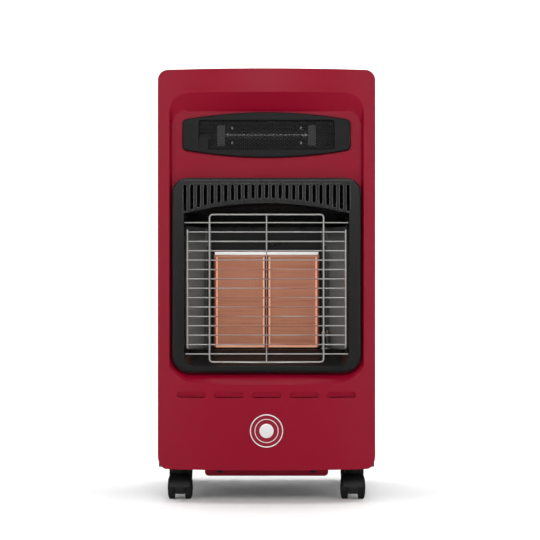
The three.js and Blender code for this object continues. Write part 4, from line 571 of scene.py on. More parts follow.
# Finishes that clouded() makes whole: a colour of the settings and its share, or a colour of their own,
# then the roughness and the three noises, and sockets of the shader.
CLOUDED = {
    "red_powder_coat": (("red", 1.0), 0.34, (7.0, 3.0, 0.95, 1.05), (38.0, 5.0, 0.31, 0.38),
                        (620.0, 2.0, 0.10, 0.0002), {"Specular_IOR_Level": 0.13}),
    "black_powder_coat": (("black", 1.0), 0.5, (9.0, 3.0, 0.85, 1.2), (60.0, 5.0, 0.42, 0.56),
                          (900.0, 3.0, 0.25, 0.0002), {}),
    "moulded_black": (("plastic", 1.0), 0.34, (14.0, 3.0, 0.9, 1.12), (240.0, 4.0, 0.30, 0.40),
                      (1800.0, 2.0, 0.16, 0.0001), {"Specular_IOR_Level": 0.3}),
    # Paler black with a painted highlight, for the slot rims and the bead of the surround.
    "rubbed_black": (("plastic", 6.0), 0.22, (90.0, 3.0, 0.85, 1.2), (300.0, 3.0, 0.18, 0.3),
                     (1800.0, 2.0, 0.08, 0.0001), {}),
    "bezel_black": (("plastic", 0.8), 0.42, (14.0, 3.0, 0.9, 1.12), (240.0, 4.0, 0.38, 0.5),
                    (1800.0, 2.0, 0.16, 0.0001), {"Specular_IOR_Level": 0.16}),
    "heat_enamel": ((0.005, 0.005, 0.005), 0.32, (16.0, 4.0, 0.7, 1.5), (80.0, 4.0, 0.26, 0.42),
                    (700.0, 2.0, 0.12, 0.0001), {"Specular_IOR_Level": 0.22}),
    "bright_strip": ((0.97, 0.965, 0.95), 0.34, (40.0, 3.0, 0.88, 1.0), (120.0, 3.0, 0.28, 0.42),
                     (900.0, 2.0, 0.05, 0.0001), {"metallic": 0.35}),
    "mesh_steel": ((0.017, 0.017, 0.017), 0.42, (220.0, 3.0, 0.8, 1.3), (500.0, 2.0, 0.36, 0.5),
                   (1700.0, 2.0, 0.06, 0.0001), {"Specular_IOR_Level": 0.2}),
    "dark_steel": ((0.17, 0.17, 0.17), 0.4, (120.0, 4.0, 0.7, 1.4), (400.0, 3.0, 0.32, 0.5),
                   (1600.0, 2.0, 0.06, 0.0001), {"metallic": 1.0}),
    "coil_wire": ((0.04, 0.039, 0.037), 0.6, (200.0, 3.0, 0.7, 1.3), (400.0, 2.0, 0.4, 0.6), None,
                  {"metallic": 0.6}),
    "insulator": (("ceramic", 1.0), 0.55, (60.0, 4.0, 0.86, 1.06), (300.0, 3.0, 0.45, 0.65),
                  (1400.0, 3.0, 0.12, 0.0001), {"Coat_Weight": 0.2, "Coat_Roughness": 0.3}),
    "quartz_glass": ((0.028, 0.028, 0.029), 0.24, (90.0, 4.0, 0.86, 1.1), (260.0, 3.0, 0.08, 0.24),
                     (500.0, 2.0, 0.05, 0.0001), {"Transmission_Weight": 0.35, "IOR": 1.45}),
    "signal_red": (("signal", 1.0), 0.28, (40.0, 3.0, 0.92, 1.06), (260.0, 3.0, 0.22, 0.34),
                   (1200.0, 2.0, 0.05, 0.0001), {"Coat_Weight": 0.3, "Coat_Roughness": 0.15}),
    "badge_red": (("red", 1.08), 0.25, (120.0, 3.0, 0.94, 1.05), None, (1200.0, 2.0, 0.04, 0.0001),
                  {"Coat_Weight": 0.5, "Coat_Roughness": 0.12}),
    "white_mark": ((0.78, 0.78, 0.76), 0.5, (150.0, 3.0, 0.92, 1.0), None, (1500.0, 2.0, 0.06, 0.0001), {}),
}
# Bright copper: the burner frame's own copper with a painted highlight in it; it is also painted along the
# plaques' edges.
LIT_COPPER = (0.95, 0.46, 0.29)


def grained_black():
    """Coarser grain for the lid, the castors and the knob."""
    f = clouded("grained_black", paint("plastic"), 0.6, (20.0, 3.0, 0.85, 1.2), Specular_IOR_Level=0.35)
    cells = f.node("ShaderNodeTexVoronoi", {"Vector": f.place, "Scale": 900.0}, "Distance")
    f.gloss(cells, 0.5, 0.68, 0.0, 1.0)
    f.relief(cells, 0.35, 0.0001)
    return f


def rolled_steel():
    """Bare sheet with the streaks of its rolling."""
    f = Finish("rolled_steel", paint("steel"), 0.4, metallic=1.0)
    streaks = f.streaks((900.0, 900.0, 12.0), 6.0, 0.7)
    f.shade(f.math("MULTIPLY", streaks, f.noise(22.0, 5.0)), 0.72, 1.35)
    f.gloss(streaks, 0.33, 0.5, 0.25, 0.75)
    f.relief(streaks, 0.08, 0.0001)
    return f


def fire_steel():
    """Dull grey steel beside the fire, with painted shade where it meets the wall behind and under the hood.
    """
    f = Finish("fire_steel", paint("steel", 0.40), 0.5, metallic=0.25)
    f.shade(f.streaks((14.0, 14.0, 700.0), 6.0, 0.7), 0.85, 1.15)
    # Painted shade: darker near the burner, where the reflector meets the wall behind, and under the hood.
    root = f.ranged(f.aside(), 0.103, 0.110, 1.0, 0.0)
    head = f.ranged(f.along("Z"), 0.425, 0.465, 0.0, 0.8)
    f.tint(f.math("MAXIMUM", root, head), (0.012, 0.012, 0.012))
    f.gloss(f.noise(60.0, 4.0), 0.4, 0.58)
    f.relief(f.noise(500.0, 2.0), 0.08, 0.0001)
    return f


def zinc_steel():
    """Galvanised sheet with its spangle."""
    f = Finish("zinc_steel", paint("steel"), 0.38, metallic=1.0)
    spangle = f.node("ShaderNodeTexVoronoi", {"Vector": f.place, "Scale": 130.0}, "Color")
    grey = f.node("ShaderNodeSeparateColor", {"Color": spangle})
    f.shade(grey, 0.72, 1.15)
    f.gloss(grey, 0.3, 0.48, 0.0, 1.0)
    f.relief(f.noise(160.0, 4.0), 0.06, 0.0002)
    return f


def plated_wire():
    """Plated wire, tinted reddish brown in level patches where it passes in front of the plaques."""
    f = clouded("plated_wire", paint("wire"), 0.42, (60.0, 4.0, 0.85, 1.1), (300.0, 3.0, 0.36, 0.48),
                (1500.0, 2.0, 0.05, 0.0001), metallic=0.6)
    beside = f.ranged(f.aside(), 0.084, 0.094, 1.0, 0.0)
    above = f.ranged(f.along("Z"), 0.395, 0.435, 1.0, 0.0)
    below = f.ranged(f.along("Z"), 0.255, 0.265, 0.0, 1.0)
    patches = f.ranged(f.streaks((9.0, 1.0, 90.0), 2.0), 0.35, 0.62, 0.25, 0.95)
    over_fire = f.math("MULTIPLY", beside, f.math("MULTIPLY", above, below))
    f.tint(f.math("MULTIPLY", over_fire, patches), (0.30, 0.105, 0.065))
    return f


def copper_lit_frame():
    """Burner frame heat-tinted to copper and brightened by a painted highlight, with a painted reflection of
    the glow in dark red along its sides and beside its middle bar.
    """
    f = clouded("copper_lit_frame", LIT_COPPER, 0.36, (45.0, 4.0, 0.80, 1.18), (150.0, 3.0, 0.3, 0.45),
                (1200.0, 2.0, 0.06, 0.0001), metallic=0.35)
    across = f.aside()
    # Painted reflection of the fire's glow: dark red along the frame's sides and beside its middle bar.
    outer = f.ranged(across, 0.0872, 0.0882, 0.0, 1.0)
    hollow = f.math("MULTIPLY", f.ranged(across, 0.0013, 0.0018, 0.0, 1.0),
                    f.ranged(across, 0.0032, 0.0037, 1.0, 0.0))
    f.tint(f.math("MULTIPLY", f.math("MAXIMUM", outer, hollow), 0.95), (0.12, 0.012, 0.008))
    f.tint(f.ranged(f.along("Z"), 0.416, 0.4175, 0.0, 0.85), paint("clay", 0.95))
    return f


def brass_fitting():
    """Turned brass, its tool marks round the axis."""
    f = clouded("brass_fitting", paint("brass"), 0.3, (45.0, 5.0, 0.75, 1.15), (200.0, 4.0, 0.22, 0.42),
                metallic=1.0)
    f.relief(f.streaks((60.0, 60.0, 2600.0), 3.0), 0.08, 0.0001)
    return f


def copper_pipe():
    """Drawn copper, browned in patches."""
    f = clouded("copper_pipe", paint("copper"), 0.34, (30.0, 5.0, 0.62, 1.15), (120.0, 4.0, 0.26, 0.5),
                (800.0, 2.0, 0.05, 0.0001), metallic=1.0)
    f.tint(f.ranged(f.noise(70.0, 5.0), 0.55, 0.8, 0.0, 0.5), (0.20, 0.08, 0.04))
    return f


def burner_clay():
    """Pressed ceramic with rows of fine gas holes. Painted shade makes the holes darker and the lines between
    them darker and redder, painted shadows of the guard wires lie across it in level bands, and a painted
    highlight in bright copper runs along its edges.
    """
    f = clouded("burner_clay", paint("clay"), 0.9, (26.0, 5.0, 0.94, 1.24), Specular_IOR_Level=0.2)
    per_metre = 1.0 / setting("fire").hole_pitch
    du, dv = (f.math("SUBTRACT", f.math("FRACT", f.math("MULTIPLY", f.along(axis), per_metre)), 0.5)
              for axis in ("X", "Z"))
    reach = f.math("SQRT", f.math("ADD", f.math("MULTIPLY", du, du), f.math("MULTIPLY", dv, dv)))
    hole = f.ranged(reach, 0.28, 0.36, 1.0, 0.0)
    # Painted shade: the lines between the holes are drawn darker and redder.
    row = f.ranged(f.math("ABSOLUTE", dv), 0.32, 0.44, 0.0, 0.8)
    column = f.ranged(f.math("ABSOLUTE", du), 0.32, 0.44, 0.0, 0.7)
    f.tint(f.math("MAXIMUM", row, column), (0.29, 0.060, 0.035))
    # Painted shadows of the guard wires: level bands of darker red across the plaques.
    f.tint(f.ranged(f.streaks((7.0, 7.0, 260.0), 3.0, 0.6), 0.52, 0.72, 0.0, 0.5), (0.20, 0.060, 0.036))
    # Painted highlight in bright copper along the plaque's outer edge and its sill.
    rim = f.ranged(f.aside(), 0.0838, 0.0844, 0.0, 0.9)
    sill = f.ranged(f.along("Z"), 0.2648, 0.2655, 0.8, 0.0)
    f.tint(f.math("MAXIMUM", rim, sill), LIT_COPPER)
    # Painted shade: the gas holes are drawn darker.
    f.tint(f.math("MULTIPLY", hole, 0.45), paint("clay", 0.25))
    f.relief(f.math("SUBTRACT", f.math("MULTIPLY", f.noise(1500.0, 3.0), 0.2), hole), 0.6, 0.0004)
    return f


def badge_silver():
    """Satin silver of the badge's rings, brushed level."""
    f = Finish("badge_silver", (0.80, 0.79, 0.79), 0.36, metallic=0.45)
    f.shade(f.streaks((1500.0, 40.0, 1500.0), 4.0, 0.6), 0.86, 1.06)
    f.gloss(f.noise(200.0, 3.0), 0.3, 0.44)
    f.relief(f.noise(1400.0, 2.0), 0.04, 0.0001)
    return f


def tread_rubber():
    """Wheel plastic with dust on it."""
    f = clouded("tread_rubber", paint("plastic"), 0.72, (50.0, 4.0, 0.8, 1.25), None,
                (1100.0, 3.0, 0.3, 0.0001), Specular_IOR_Level=0.3)
    f.tint(f.ranged(f.noise(140.0, 5.0), 0.58, 0.78, 0.0, 0.25), (0.09, 0.085, 0.08))
    return f


BUILT = {maker.__name__: maker for maker in (
    grained_black, rolled_steel, fire_steel, zinc_steel, plated_wire, copper_lit_frame, brass_fitting,
    copper_pipe, burner_clay, badge_silver, tread_rubber)}
FINISHES = {}


def finish(name):
    """The finish of that name, made when it is first asked for."""
    if name not in FINISHES:
        if name in BUILT:
            made = BUILT[name]()
        else:
            colour, roughness, *noises, sockets = CLOUDED[name]
            if isinstance(colour[0], str):
                colour = paint(*colour)
            made = clouded(name, colour, roughness, *noises, **sockets)
        FINISHES[name] = made.material
    return FINISHES[name]



# ---------------------------------------------------------------- red front

# A tool that cuts right through a piece reaches this far beyond it, or up to this height.
REACH, OVER_ALL = 0.03, 1.2
BADGE_PROUD = 0.002
FIELD_BEHIND_CORNERS = 0.004
FOOT_CORNER = (0.015, 0.024)
# How far the pan's level walls rise for each metre that they come forward, and the run of its side walls.
HEAD_RISE, FOOT_RISE, SIDE_RUN = 0.94, 0.55, 0.0040
# Shares of the pan's depth at which its walls have a ring of points, and how far they run on past the bow.
PAN_PARTS = (0.0, 0.2, 0.4, 0.55, 0.68, 0.79, 0.9, 1.0)
OVERRUN = 0.006
# Width and height of the upper and the lower corners, of the flat field and of the pan's mouth.
FIELD_CORNERS = ((0.025, 0.025), (0.030, 0.030))
MOUTH_CORNERS = ((0.029, 0.033), (0.042, 0.034))
# Depth of a louvre's pocket at its head and at its foot, and the height of its upright back wall.
LOUVRE_STEP, LOUVRE_DEPTH, LOUVRE_WALL = 0.0011, 0.0036, 0.003
TAB_HALF, TAB_DROP = 0.106, 0.015
OVAL_X, OVAL_HALF = 0.08, 0.005
# The black surround covers the red this far round its cut-out.
SURROUND_SEAT = 0.010
WINDOW_HOLE = (0.1157, 0.0257)


def panel_places():
    """Places of the front that follow from its settings."""
    p = setting("panel")
    half, front = p.width / 2, CAD_BOX[0].y + BADGE_PROUD
    return {
        "half": half, "front": front, "back": front + p.bow + p.fold,
        "field": front + p.bow + FIELD_BEHIND_CORNERS,
        "radius": (half ** 2 + p.bow ** 2) / (2 * p.bow),
    }


def bow_outline(inset, back):
    """Plan of the bowed front in XY, from the bow back to the given depth."""
    at = panel_places()
    half, radius = at["half"] - inset, at["radius"] - inset
    reach = math.degrees(math.asin(half / radius))
    bow = arc(0.0, at["front"] + at["radius"], radius, radius, -90 - reach, -90 + reach, 56)
    return [(-half, back)] + bow + [(half, back)]


def panel_outline(inset):
    """Front view of the red front, or of a level line inside it."""
    p = setting("panel")
    half = p.width / 2 - inset
    low, top = p.foot + inset, p.height - inset
    upper, wide, high = (max(v - inset, 0.001) for v in (p.corner, *FOOT_CORNER))
    return tidy_outline(
        arc(half - wide, low + high, wide, high, -90, 0, 10)
        + arc(half - upper, top - upper, upper, upper, 0, 90, 10)
        + arc(upper - half, top - upper, upper, upper, 90, 180, 10)
        + arc(wide - half, low + high, wide, high, 180, 270, 10))


def panel_block(inset, back):
    """The whole front as a bowed block, its faces drawn in by the inset."""
    elevation = along_y(panel_outline(inset), CAD_BOX[0].y - REACH, back)
    return common(elevation, along_z(bow_outline(inset, back + REACH), 0.0, OVER_ALL))


def bow_at(x):
    """Front of the bow at a place across it."""
    at = panel_places()
    return at["front"] + at["radius"] - math.sqrt(at["radius"] ** 2 - x ** 2)


def bow_surface(x, _z):
    """Depth and normal of the bow."""
    radius = panel_places()["radius"]
    return bow_at(x), Vector((x / radius, -math.sqrt(1 - (x / radius) ** 2), 0.0))


def pan_wall(edge, rise, roll):
    """The level wall of the pan from an edge of the field to the bow; a roll over 1 curves it."""
    at = panel_places()

    def surface(x, z):
        forward, climb = at["field"] - bow_at(x), max((z - edge) / rise, 1e-4)
        reach = climb ** (1 / roll)
        across = x / (at["front"] + at["radius"] - bow_at(x)) * reach
        steep = -forward * reach / (roll * climb * rise)
        return at["field"] - forward * reach, Vector((across, -1.0, steep)).normalized()

    return surface


def pan_outline(half, low, high, upper, lower):
    """Rounded rectangle with points along its level edges; each corner has a width and a height."""
    (wu, hu), (wl, hl), across = upper, lower, 32
    foot = arc(wl - half, low + hl, wl, hl, 180, 270, 12)
    foot += [((half - wl) * (2 * k / across - 1), low) for k in range(1, across)]
    foot += arc(half - wl, low + hl, wl, hl, 270, 360, 12)
    head = arc(half - wu, high - hu, wu, hu, 0, 90, 12)
    head += [((half - wu) * (1 - 2 * k / across), high) for k in range(1, across)]
    head += arc(wu - half, high - hu, wu, hu, 90, 180, 12)
    return foot + head


def recess(grow):
    """The sloped pan, from the outline of the flat field to a level outline on the bow.

    Its foot rolls out towards the bow; grow gives the outside of the same pan.
    """
    p, at = setting("panel"), panel_places()
    deep = at["field"] - at["front"]
    inner = pan_outline(p.field_half, p.field_bottom, p.field_top, *FIELD_CORNERS)
    outer = pan_outline(p.field_half + SIDE_RUN, p.field_bottom - FOOT_RISE * deep,
                        p.field_top + HEAD_RISE * deep, *MOUTH_CORNERS)
    rings = [[] for _ in range(len(PAN_PARTS) + 3)]
    for (u0, v0), (u1, v1) in zip(inner, outer):
        forward = at["field"] - bow_at(u1)
        run = math.dist((u0, v0), (u1, v1))
        du, dv = (u1 - u0) / run, (v1 - v0) / run
        roll = 1.0 + (p.foot_roll - 1.0) * max(-dv, 0.0) ** 2

        def slope_at(part):
            return roll * part ** (roll - 1.0) * run / forward

        steps = []
        for part in PAN_PARTS:
            slope = slope_at(part)
            bend = math.hypot(1.0, slope)
            steps.append((forward * part - grow * slope / bend, run * part ** roll + grow / bend))
        steps.insert(0, (-grow - 1e-5, steps[0][1] - slope_at(PAN_PARTS[0]) * (steps[0][0] + grow)))
        steps.append((steps[-1][0] + OVERRUN, steps[-1][1] + OVERRUN * slope))
        for ring, (ahead, out) in zip(rings, steps):
            ring.append((u0 + du * out, at["field"] - ahead, v0 + dv * out))
        rings[-1].append((rings[-2][-1][0], at["front"] - REACH, rings[-2][-1][2]))
    if not grow:
        rings.pop(0)
    return loft(rings)


def bow_turn(x):
    """Turns a piece drawn at the middle of the bow to its place x along the bow."""
    at = panel_places()
    middle = Matrix.Translation((0.0, at["front"] + at["radius"], 0.0))
    return middle @ Matrix.Rotation(math.asin(x / at["radius"]), 4, "Z") @ middle.inverted()


def louvre_forms(x):
    """The pushed-in metal of one louvre, the pocket before it and the slit along its foot."""
    p, face = setting("panel"), panel_places()["front"]
    sheet, half = p.sheet, p.louvre_width / 2
    root, step, deep, ahead = face + 0.6 * sheet, face + LOUVRE_STEP, face + LOUVRE_DEPTH, face - 0.013
    foot, head = p.louvre_bottom, p.louvre_bottom + p.louvre_height
    knee = foot + LOUVRE_WALL
    metal = along_x([
        (root, foot - sheet), (deep + sheet, foot - sheet), (deep + sheet, knee + sheet),
        (step + 1.5 * sheet, head + sheet), (root, head + sheet)], -half - sheet, half + sheet)
    hollow = along_x([(ahead, foot), (deep, foot), (deep, knee), (step, head), (ahead, head)], -half, half)
    ends = along_y(rounded(-half, foot, half, head, p.louvre_height / 2, 0.003, 6), ahead, deep)
    slit = block(0.003 - half, half - 0.003, deep - 0.0004, deep + 2 * sheet, foot - 0.0006, foot + 0.0011)
    return [moved(form, bow_turn(x)) for form in (metal, common(hollow, ends), slit)]


def front_hole(half, low, high, upper, lower):
    """Tool for a cut-out of the flat field."""
    field = panel_places()["field"]
    return along_y(rounded(-half, low, half, high, upper, lower, 8), field - 0.0012, field + 0.0024)


def make_front_panel():
    p, fire, window, at = setting("panel"), setting("fire"), setting("window"), panel_places()
    back, sheet, seat = at["back"], p.sheet, SURROUND_SEAT
    through_lip = (back - 0.003, back + 0.002)
    skin = folded(cut(panel_block(0.0, back), recess(0.0)), p.edge)
    inside = folded(cut(panel_block(sheet, back - sheet), recess(sheet)), p.edge)
    lip_hole = along_y(panel_outline(sheet + p.lip), *through_lip)
    tab = along_y(rounded(-TAB_HALF, p.foot - TAB_DROP, TAB_HALF, p.foot + p.lip / 2, 0.0, 0.007, 8),
                  back - sheet, back)
    ovals = [rounded(x - OVAL_HALF, p.foot - 0.010, x + OVAL_HALF, p.foot - 0.005, 0.0025, 0.0025, 8)
             for x in (-OVAL_X, OVAL_X)]
    holes = [along_y(oval, *through_lip) for oval in ovals]
    # Dark plates behind the oval holes of the tab: painted shade seen through the holes.
    painted_shade_plugs = [numbered(along_y(oval, back - 0.6 * sheet, back + 0.0004), 1) for oval in ovals]
    louvres = [louvre_forms((i - (p.louvres - 1) / 2) * p.louvre_pitch) for i in range(p.louvres)]
    formed = joined(cut(skin, inside, lip_hole), tab, *[metal for metal, _, _ in louvres])
    fire_hole = front_hole(fire.half - seat, fire.bottom + seat, fire.top - seat, 0.016, 0.020)
    half, half_high = WINDOW_HOLE
    window_hole = front_hole(half, window.middle - half_high, window.middle + half_high, 0.004, 0.004)
    pockets = [tool for _, *tools in louvres for tool in tools]
    formed = cut(formed, fire_hole, window_hole, *holes, *pockets)
    painted = merged([numbered(softened(formed, 0.0004, 32.0), 0), *painted_shade_plugs])
    deep = at["field"] - at["front"]
    walls = [pan_wall(p.field_top, HEAD_RISE * deep, 1.0),
             pan_wall(p.field_bottom, -FOOT_RISE * deep, p.foot_roll)]
    place("front_panel_finished", followed(painted, [bow_surface, *walls]), BODY, "red_paint",
          ["red_powder_coat", "moulded_black"], ["front_panel"])


# ---------------------------------------------------------------- badge

BADGE_STEPS = 96
INNER_RING_SHARE, DOME_SHARE = 0.695, 0.62


def make_badge():
    """A plain round badge: thin silver rim, red band, thin inner ring and a plain silver dome."""
    p = setting("panel")
    r, inner = p.badge_radius, p.badge_radius * INNER_RING_SHARE
    dome, crown = inner * DOME_SHARE, [math.radians(9 * k) for k in range(1, 10)]
    red, silver = 0, 1
    forms = [numbered(turned(profile, steps), index) for index, steps, profile in (
        (red, BADGE_STEPS, [(0.0, -0.0012), (r, -0.0012), (r, 0.0008), (r - 0.0004, 0.0014), (0.0, 0.0014)]),
        (silver, BADGE_STEPS, [
            (0.0, 0.0013), (r - 0.0002, 0.0013), (r - 0.0003, 0.0017), (r - 0.0007, 0.00195),
            (r - 0.0014, 0.00195), (r - 0.0019, 0.0016), (r - 0.0020, 0.0013), (r - 0.0021, 0.00125),
            (0.0, 0.00125)]),
        (red, BADGE_STEPS, [(0.0, 0.00135), (r - 0.0020, 0.00135), (r - 0.0021, 0.0015), (0.0, 0.0015)]),
        (silver, BADGE_STEPS, [
            (0.0, 0.0014), (inner + 0.0007, 0.0014), (inner + 0.0005, 0.0018), (inner - 0.0005, 0.0018),
            (inner - 0.0007, 0.00145), (0.0, 0.00145)]),
        (silver, 64, [(0.0, 0.0014), (dome, 0.0014)]
            + [(dome * math.cos(a), 0.0014 + 0.00058 * math.sin(a)) for a in crown] + [(0.0, 0.00198)]))]
    badge = moved(smoothed(merged(forms)), turn(90, "X"))
    place("badge_finished", shifted(badge, 0.0, panel_places()["front"], p.badge_height), BODY,
          "bright_steel", ["badge_red", "badge_silver"], ["badge"])


# ---------------------------------------------------------------- black surround

# Pieces stand this far off the ones that carry them.
GAP = 0.0003
SURROUND_PROUD = 0.020
SURROUND_CORNERS = (0.026, 0.030)
# Depth of the funnel, and its opening at the back: half width, sill, head at the sides, rise and corner.
FUNNEL_DEPTH = 0.031
FUNNEL_HALF, FUNNEL_SILL, FUNNEL_HEAD, FUNNEL_ARCH, FUNNEL_CORNER = 0.137, 0.2475, 0.4875, 0.0175, 0.020
# How far the opening widens and its sill falls for each metre forward.
FLARE, SILL_FALL = 0.1, 0.52
# Below the surround's top: the heads of the slots, the foot of the middle one and how much lower the last are.
SLOT_HEAD, SLOT_FOOT, SLOT_ARCH = 0.0116, 0.035, 0.022
RIM = 0.0013
# Section of the bead over the slots: behind the face and below the top.
BEAD = ((-0.0009, 0.0092), (-0.0009, 0.0100), (0.001, 0.0104), (0.001, 0.0088))
BEAD_HALF = 0.128


def surround_ring(inset, y):
    fire = setting("fire")
    upper, lower = SURROUND_CORNERS
    return at_depth(rounded(
        inset - fire.half, fire.bottom + inset, fire.half - inset, fire.top - inset,
        upper - inset, lower - inset, 12), y)


def rounded_face(ring_at, back, face, radius):
    """A block from its back to a face with rounded edges."""
    rings = [ring_at(0.0, back)]
    for step in range(7):
        a = math.pi / 2 * step / 6
        rings.append(ring_at(radius * (1 - math.cos(a)), face + radius * (1 - math.sin(a))))
    return loft(rings)


def fire_ring(forward, grow, y):
    """Opening of the fire with its arched top, a distance forward of the back of the funnel."""
    half = FUNNEL_HALF + FLARE * forward + grow
    bottom = FUNNEL_SILL - SILL_FALL * forward - grow * math.hypot(1.0, SILL_FALL)
    side_top = FUNNEL_HEAD + FLARE * forward + grow
    rise, corner = FUNNEL_ARCH, FUNNEL_CORNER + grow
    radius = (half ** 2 + rise ** 2) / (2 * rise)
    reach = math.degrees(math.asin(half / radius))
    outline = (
        arc(half - corner, bottom + corner, corner, corner, -90, 0, 12)
        + arc(0.0, side_top + rise - radius, radius, radius, 90 - reach, 90 + reach, 36)
        + arc(corner - half, bottom + corner, corner, corner, 180, 270, 12))
    return at_depth(tidy_outline(outline), y)


def surround_places():
    field = panel_places()["field"]
    face = field - SURROUND_PROUD
    return {"face": face, "back": field - GAP, "funnel": face + FUNNEL_DEPTH}


def funnel(grow, overrun):
    back, near = surround_places()["funnel"], FUNNEL_DEPTH + overrun
    return loft([fire_ring(near, grow, back - near), fire_ring(-overrun, grow, back + overrun)])


def slot_places():
    """Middle x, foot and head of each air slot; the feet stand on an arch."""
    fire = setting("fire")
    outermost = (fire.slots - 1) / 2
    for i in range(fire.slots):
        across = (i - outermost) / outermost
        foot = fire.top - SLOT_FOOT - SLOT_ARCH * across ** 2
        yield (i - outermost) * fire.slot_pitch, foot, fire.top - SLOT_HEAD


def make_surround():
    fire, at = setting("fire"), surround_places()
    wall, half, face, top = fire.wall, fire.slot_width / 2, at["face"], fire.top
    shell = rounded_face(surround_ring, at["back"], face, fire.edge)
    hollow = rounded_face(lambda inset, y: surround_ring(wall + inset, y),
                          at["back"] + 0.001, face + wall, fire.edge - wall)
    shell = cut(shell, hollow)
    rims, holes = [], []
    for x, foot, head in slot_places():
        corner = half + 0.0012
        rim = rounded(x - half - RIM, foot - RIM, x + half + RIM, head + 0.0008, corner, corner, 6)
        hole = rounded(x - half, foot, x + half, head, half * 0.92, half * 0.92, 6)
        rims.append(along_y(rim, face - 0.0012, face + 0.001))
        holes.append(along_y(hole, face - 0.003, face + 0.004))
    bead = along_x([(face + u, top - v) for u, v in BEAD], -BEAD_HALF, BEAD_HALF)
    shell = joined(shell, funnel(wall, 0.0), merged(rims), bead)
    formed = numbered(softened(cut(shell, funnel(0.0, wall), merged(holes)), 0.0006, 32.0), 0)
    # The proud faces near the top, the slot rims and the bead, take the paler black: a painted highlight.
    formed.polygons.foreach_set("material_index", [
        int(f.center.y < face - 0.0005 and f.center.z > top - 0.07) for f in formed.polygons])
    place("front_surround_finished", formed, BODY, "black_plastic",
          ["moulded_black", "rubbed_black"], ["front_surround"])


# ---------------------------------------------------------------- window

BEZEL_PROUD = 0.006
REBATE = 0.0016
SIGHT_HALF, SIGHT_HALF_HEIGHT, SIGHT_CORNER = 0.115, 0.025, 0.004
# The blank and the catch at the sight's lower left: from and to across it, and above its foot.
BLANK_X, BLANK_Z = (-0.1165, -0.099), (0.0, 0.0225)
CATCH_X, CATCH_Z = (-0.1120, -0.096), (0.0190, 0.0255)


def window_ring(inset, y):
    w = setting("window")
    half, side = w.half - inset, w.side_half_height - inset
    corner = max(w.corner - inset, 0.001)
    chord = half - corner
    radius = (chord ** 2 + w.arch ** 2) / (2 * w.arch)
    reach = math.degrees(math.asin(chord / radius))
    low, high = w.middle - side, w.middle + side
    outline = (
        arc(0.0, low - w.arch + radius, radius, radius, -90 - reach, -90 + reach, 40)
        + arc(chord, low + corner, corner, corner, -90, 0, 8)
        + arc(chord, high - corner, corner, corner, 0, 90, 8)
        + arc(0.0, high + w.arch - radius, radius, radius, 90 - reach, 90 + reach, 40)
        + arc(-chord, high - corner, corner, corner, 90, 180, 8)
        + arc(-chord, low + corner, corner, corner, 180, 270, 8))
    return at_depth(tidy_outline(outline), y)


def sight_outline(grow, corner=SIGHT_CORNER):
    """The window's sight, or a line a little outside it."""
    middle, half, half_high = setting("window").middle, SIGHT_HALF + grow, SIGHT_HALF_HEIGHT
    return rounded(-half, middle - half_high - grow, half, middle + half_high + grow,
                   corner, corner, 8)


def make_window_bezel():
    field = panel_places()["field"]
    back, face = field - GAP, field - BEZEL_PROUD
    plate = rounded_face(window_ring, back, face, 0.0025)
    sight = loft([at_depth(sight_outline(grow, SIGHT_CORNER + 0.5 * grow), y) for grow, y in (
        (0.0, field + 0.001), (0.0, face + 0.0006), (0.0012, face - 0.0006))])
    rebate = along_y(sight_outline(0.005), back - REBATE, field + 0.001)
    low = setting("window").middle - 0.0262
    blank = block(*BLANK_X, face + 0.0006, back - 0.0018, *[low + z for z in BLANK_Z])
    catch = block(*CATCH_X, face, back - 0.0020, *[low + z for z in CATCH_Z])
    place("window_bezel_finished", softened(joined(cut(plate, sight, rebate), blank, catch), 0.0005, 32.0),
          BODY, "black_plastic", ["bezel_black"], ["window_bezel"])


# ---------------------------------------------------------------- repeats made by nodes


class Repeat:
    """A geometry node tree with named inputs and a finish, run once on a mesh."""

    KINDS = {float: "NodeSocketFloat", int: "NodeSocketInt", bpy.types.Material: "NodeSocketMaterial",
             bpy.types.Object: "NodeSocketObject"}

    def __init__(self, name, finish_name, **inputs):
        self.group = bpy.data.node_groups.new(name, "GeometryNodeTree")
        self.values = {}
        for way in ("INPUT", "OUTPUT"):
            self.group.interface.new_socket("Geometry", in_out=way, socket_type="NodeSocketGeometry")
        for label, value in {**inputs, "Finish": finish(finish_name)}.items():
            socket = self.group.interface.new_socket(
                label.replace("_", " "), in_out="INPUT", socket_type=self.KINDS[type(value)])
            self.values[socket.identifier] = value
        self.entry = self.group.nodes.new("NodeGroupInput")
        self.exit = self.group.nodes.new("NodeGroupOutput")

    def __getitem__(self, label):
        return self.entry.outputs[label]

    def node(self, kind, links=None, output=0, **settings):
        """An output of a new node."""
        return new_node(self.group, kind, links, settings).outputs[output]

    def math(self, operation, *values):
        return self.node("ShaderNodeMath", dict(enumerate(values)), operation=operation)

    def run(self, geometry, mesh=None, smooth=False):
        """Ends the tree with its finish and returns what it makes of the mesh."""
        real = self.node("GeometryNodeRealizeInstances", {"Geometry": geometry})
        shaded = self.node("GeometryNodeSetShadeSmooth", {"Geometry": real, "Shade Smooth": smooth})
        coloured = self.node("GeometryNodeSetMaterial", {"Geometry": shaded, "Material": self["Finish"]})
        self.group.links.new(coloured, self.exit.inputs[0])
        obj = shown(bpy.data.meshes.new("form") if mesh is None else mesh)
        modifier = obj.modifiers.new("repeat", "NODES")
        modifier.node_group = self.group
        for identifier, value in self.values.items():
            modifier[identifier] = value
        result = baked(obj)
        if not result.polygons:
            raise RuntimeError(f"{self.group.name} made nothing")
        result.materials.clear()
        return result


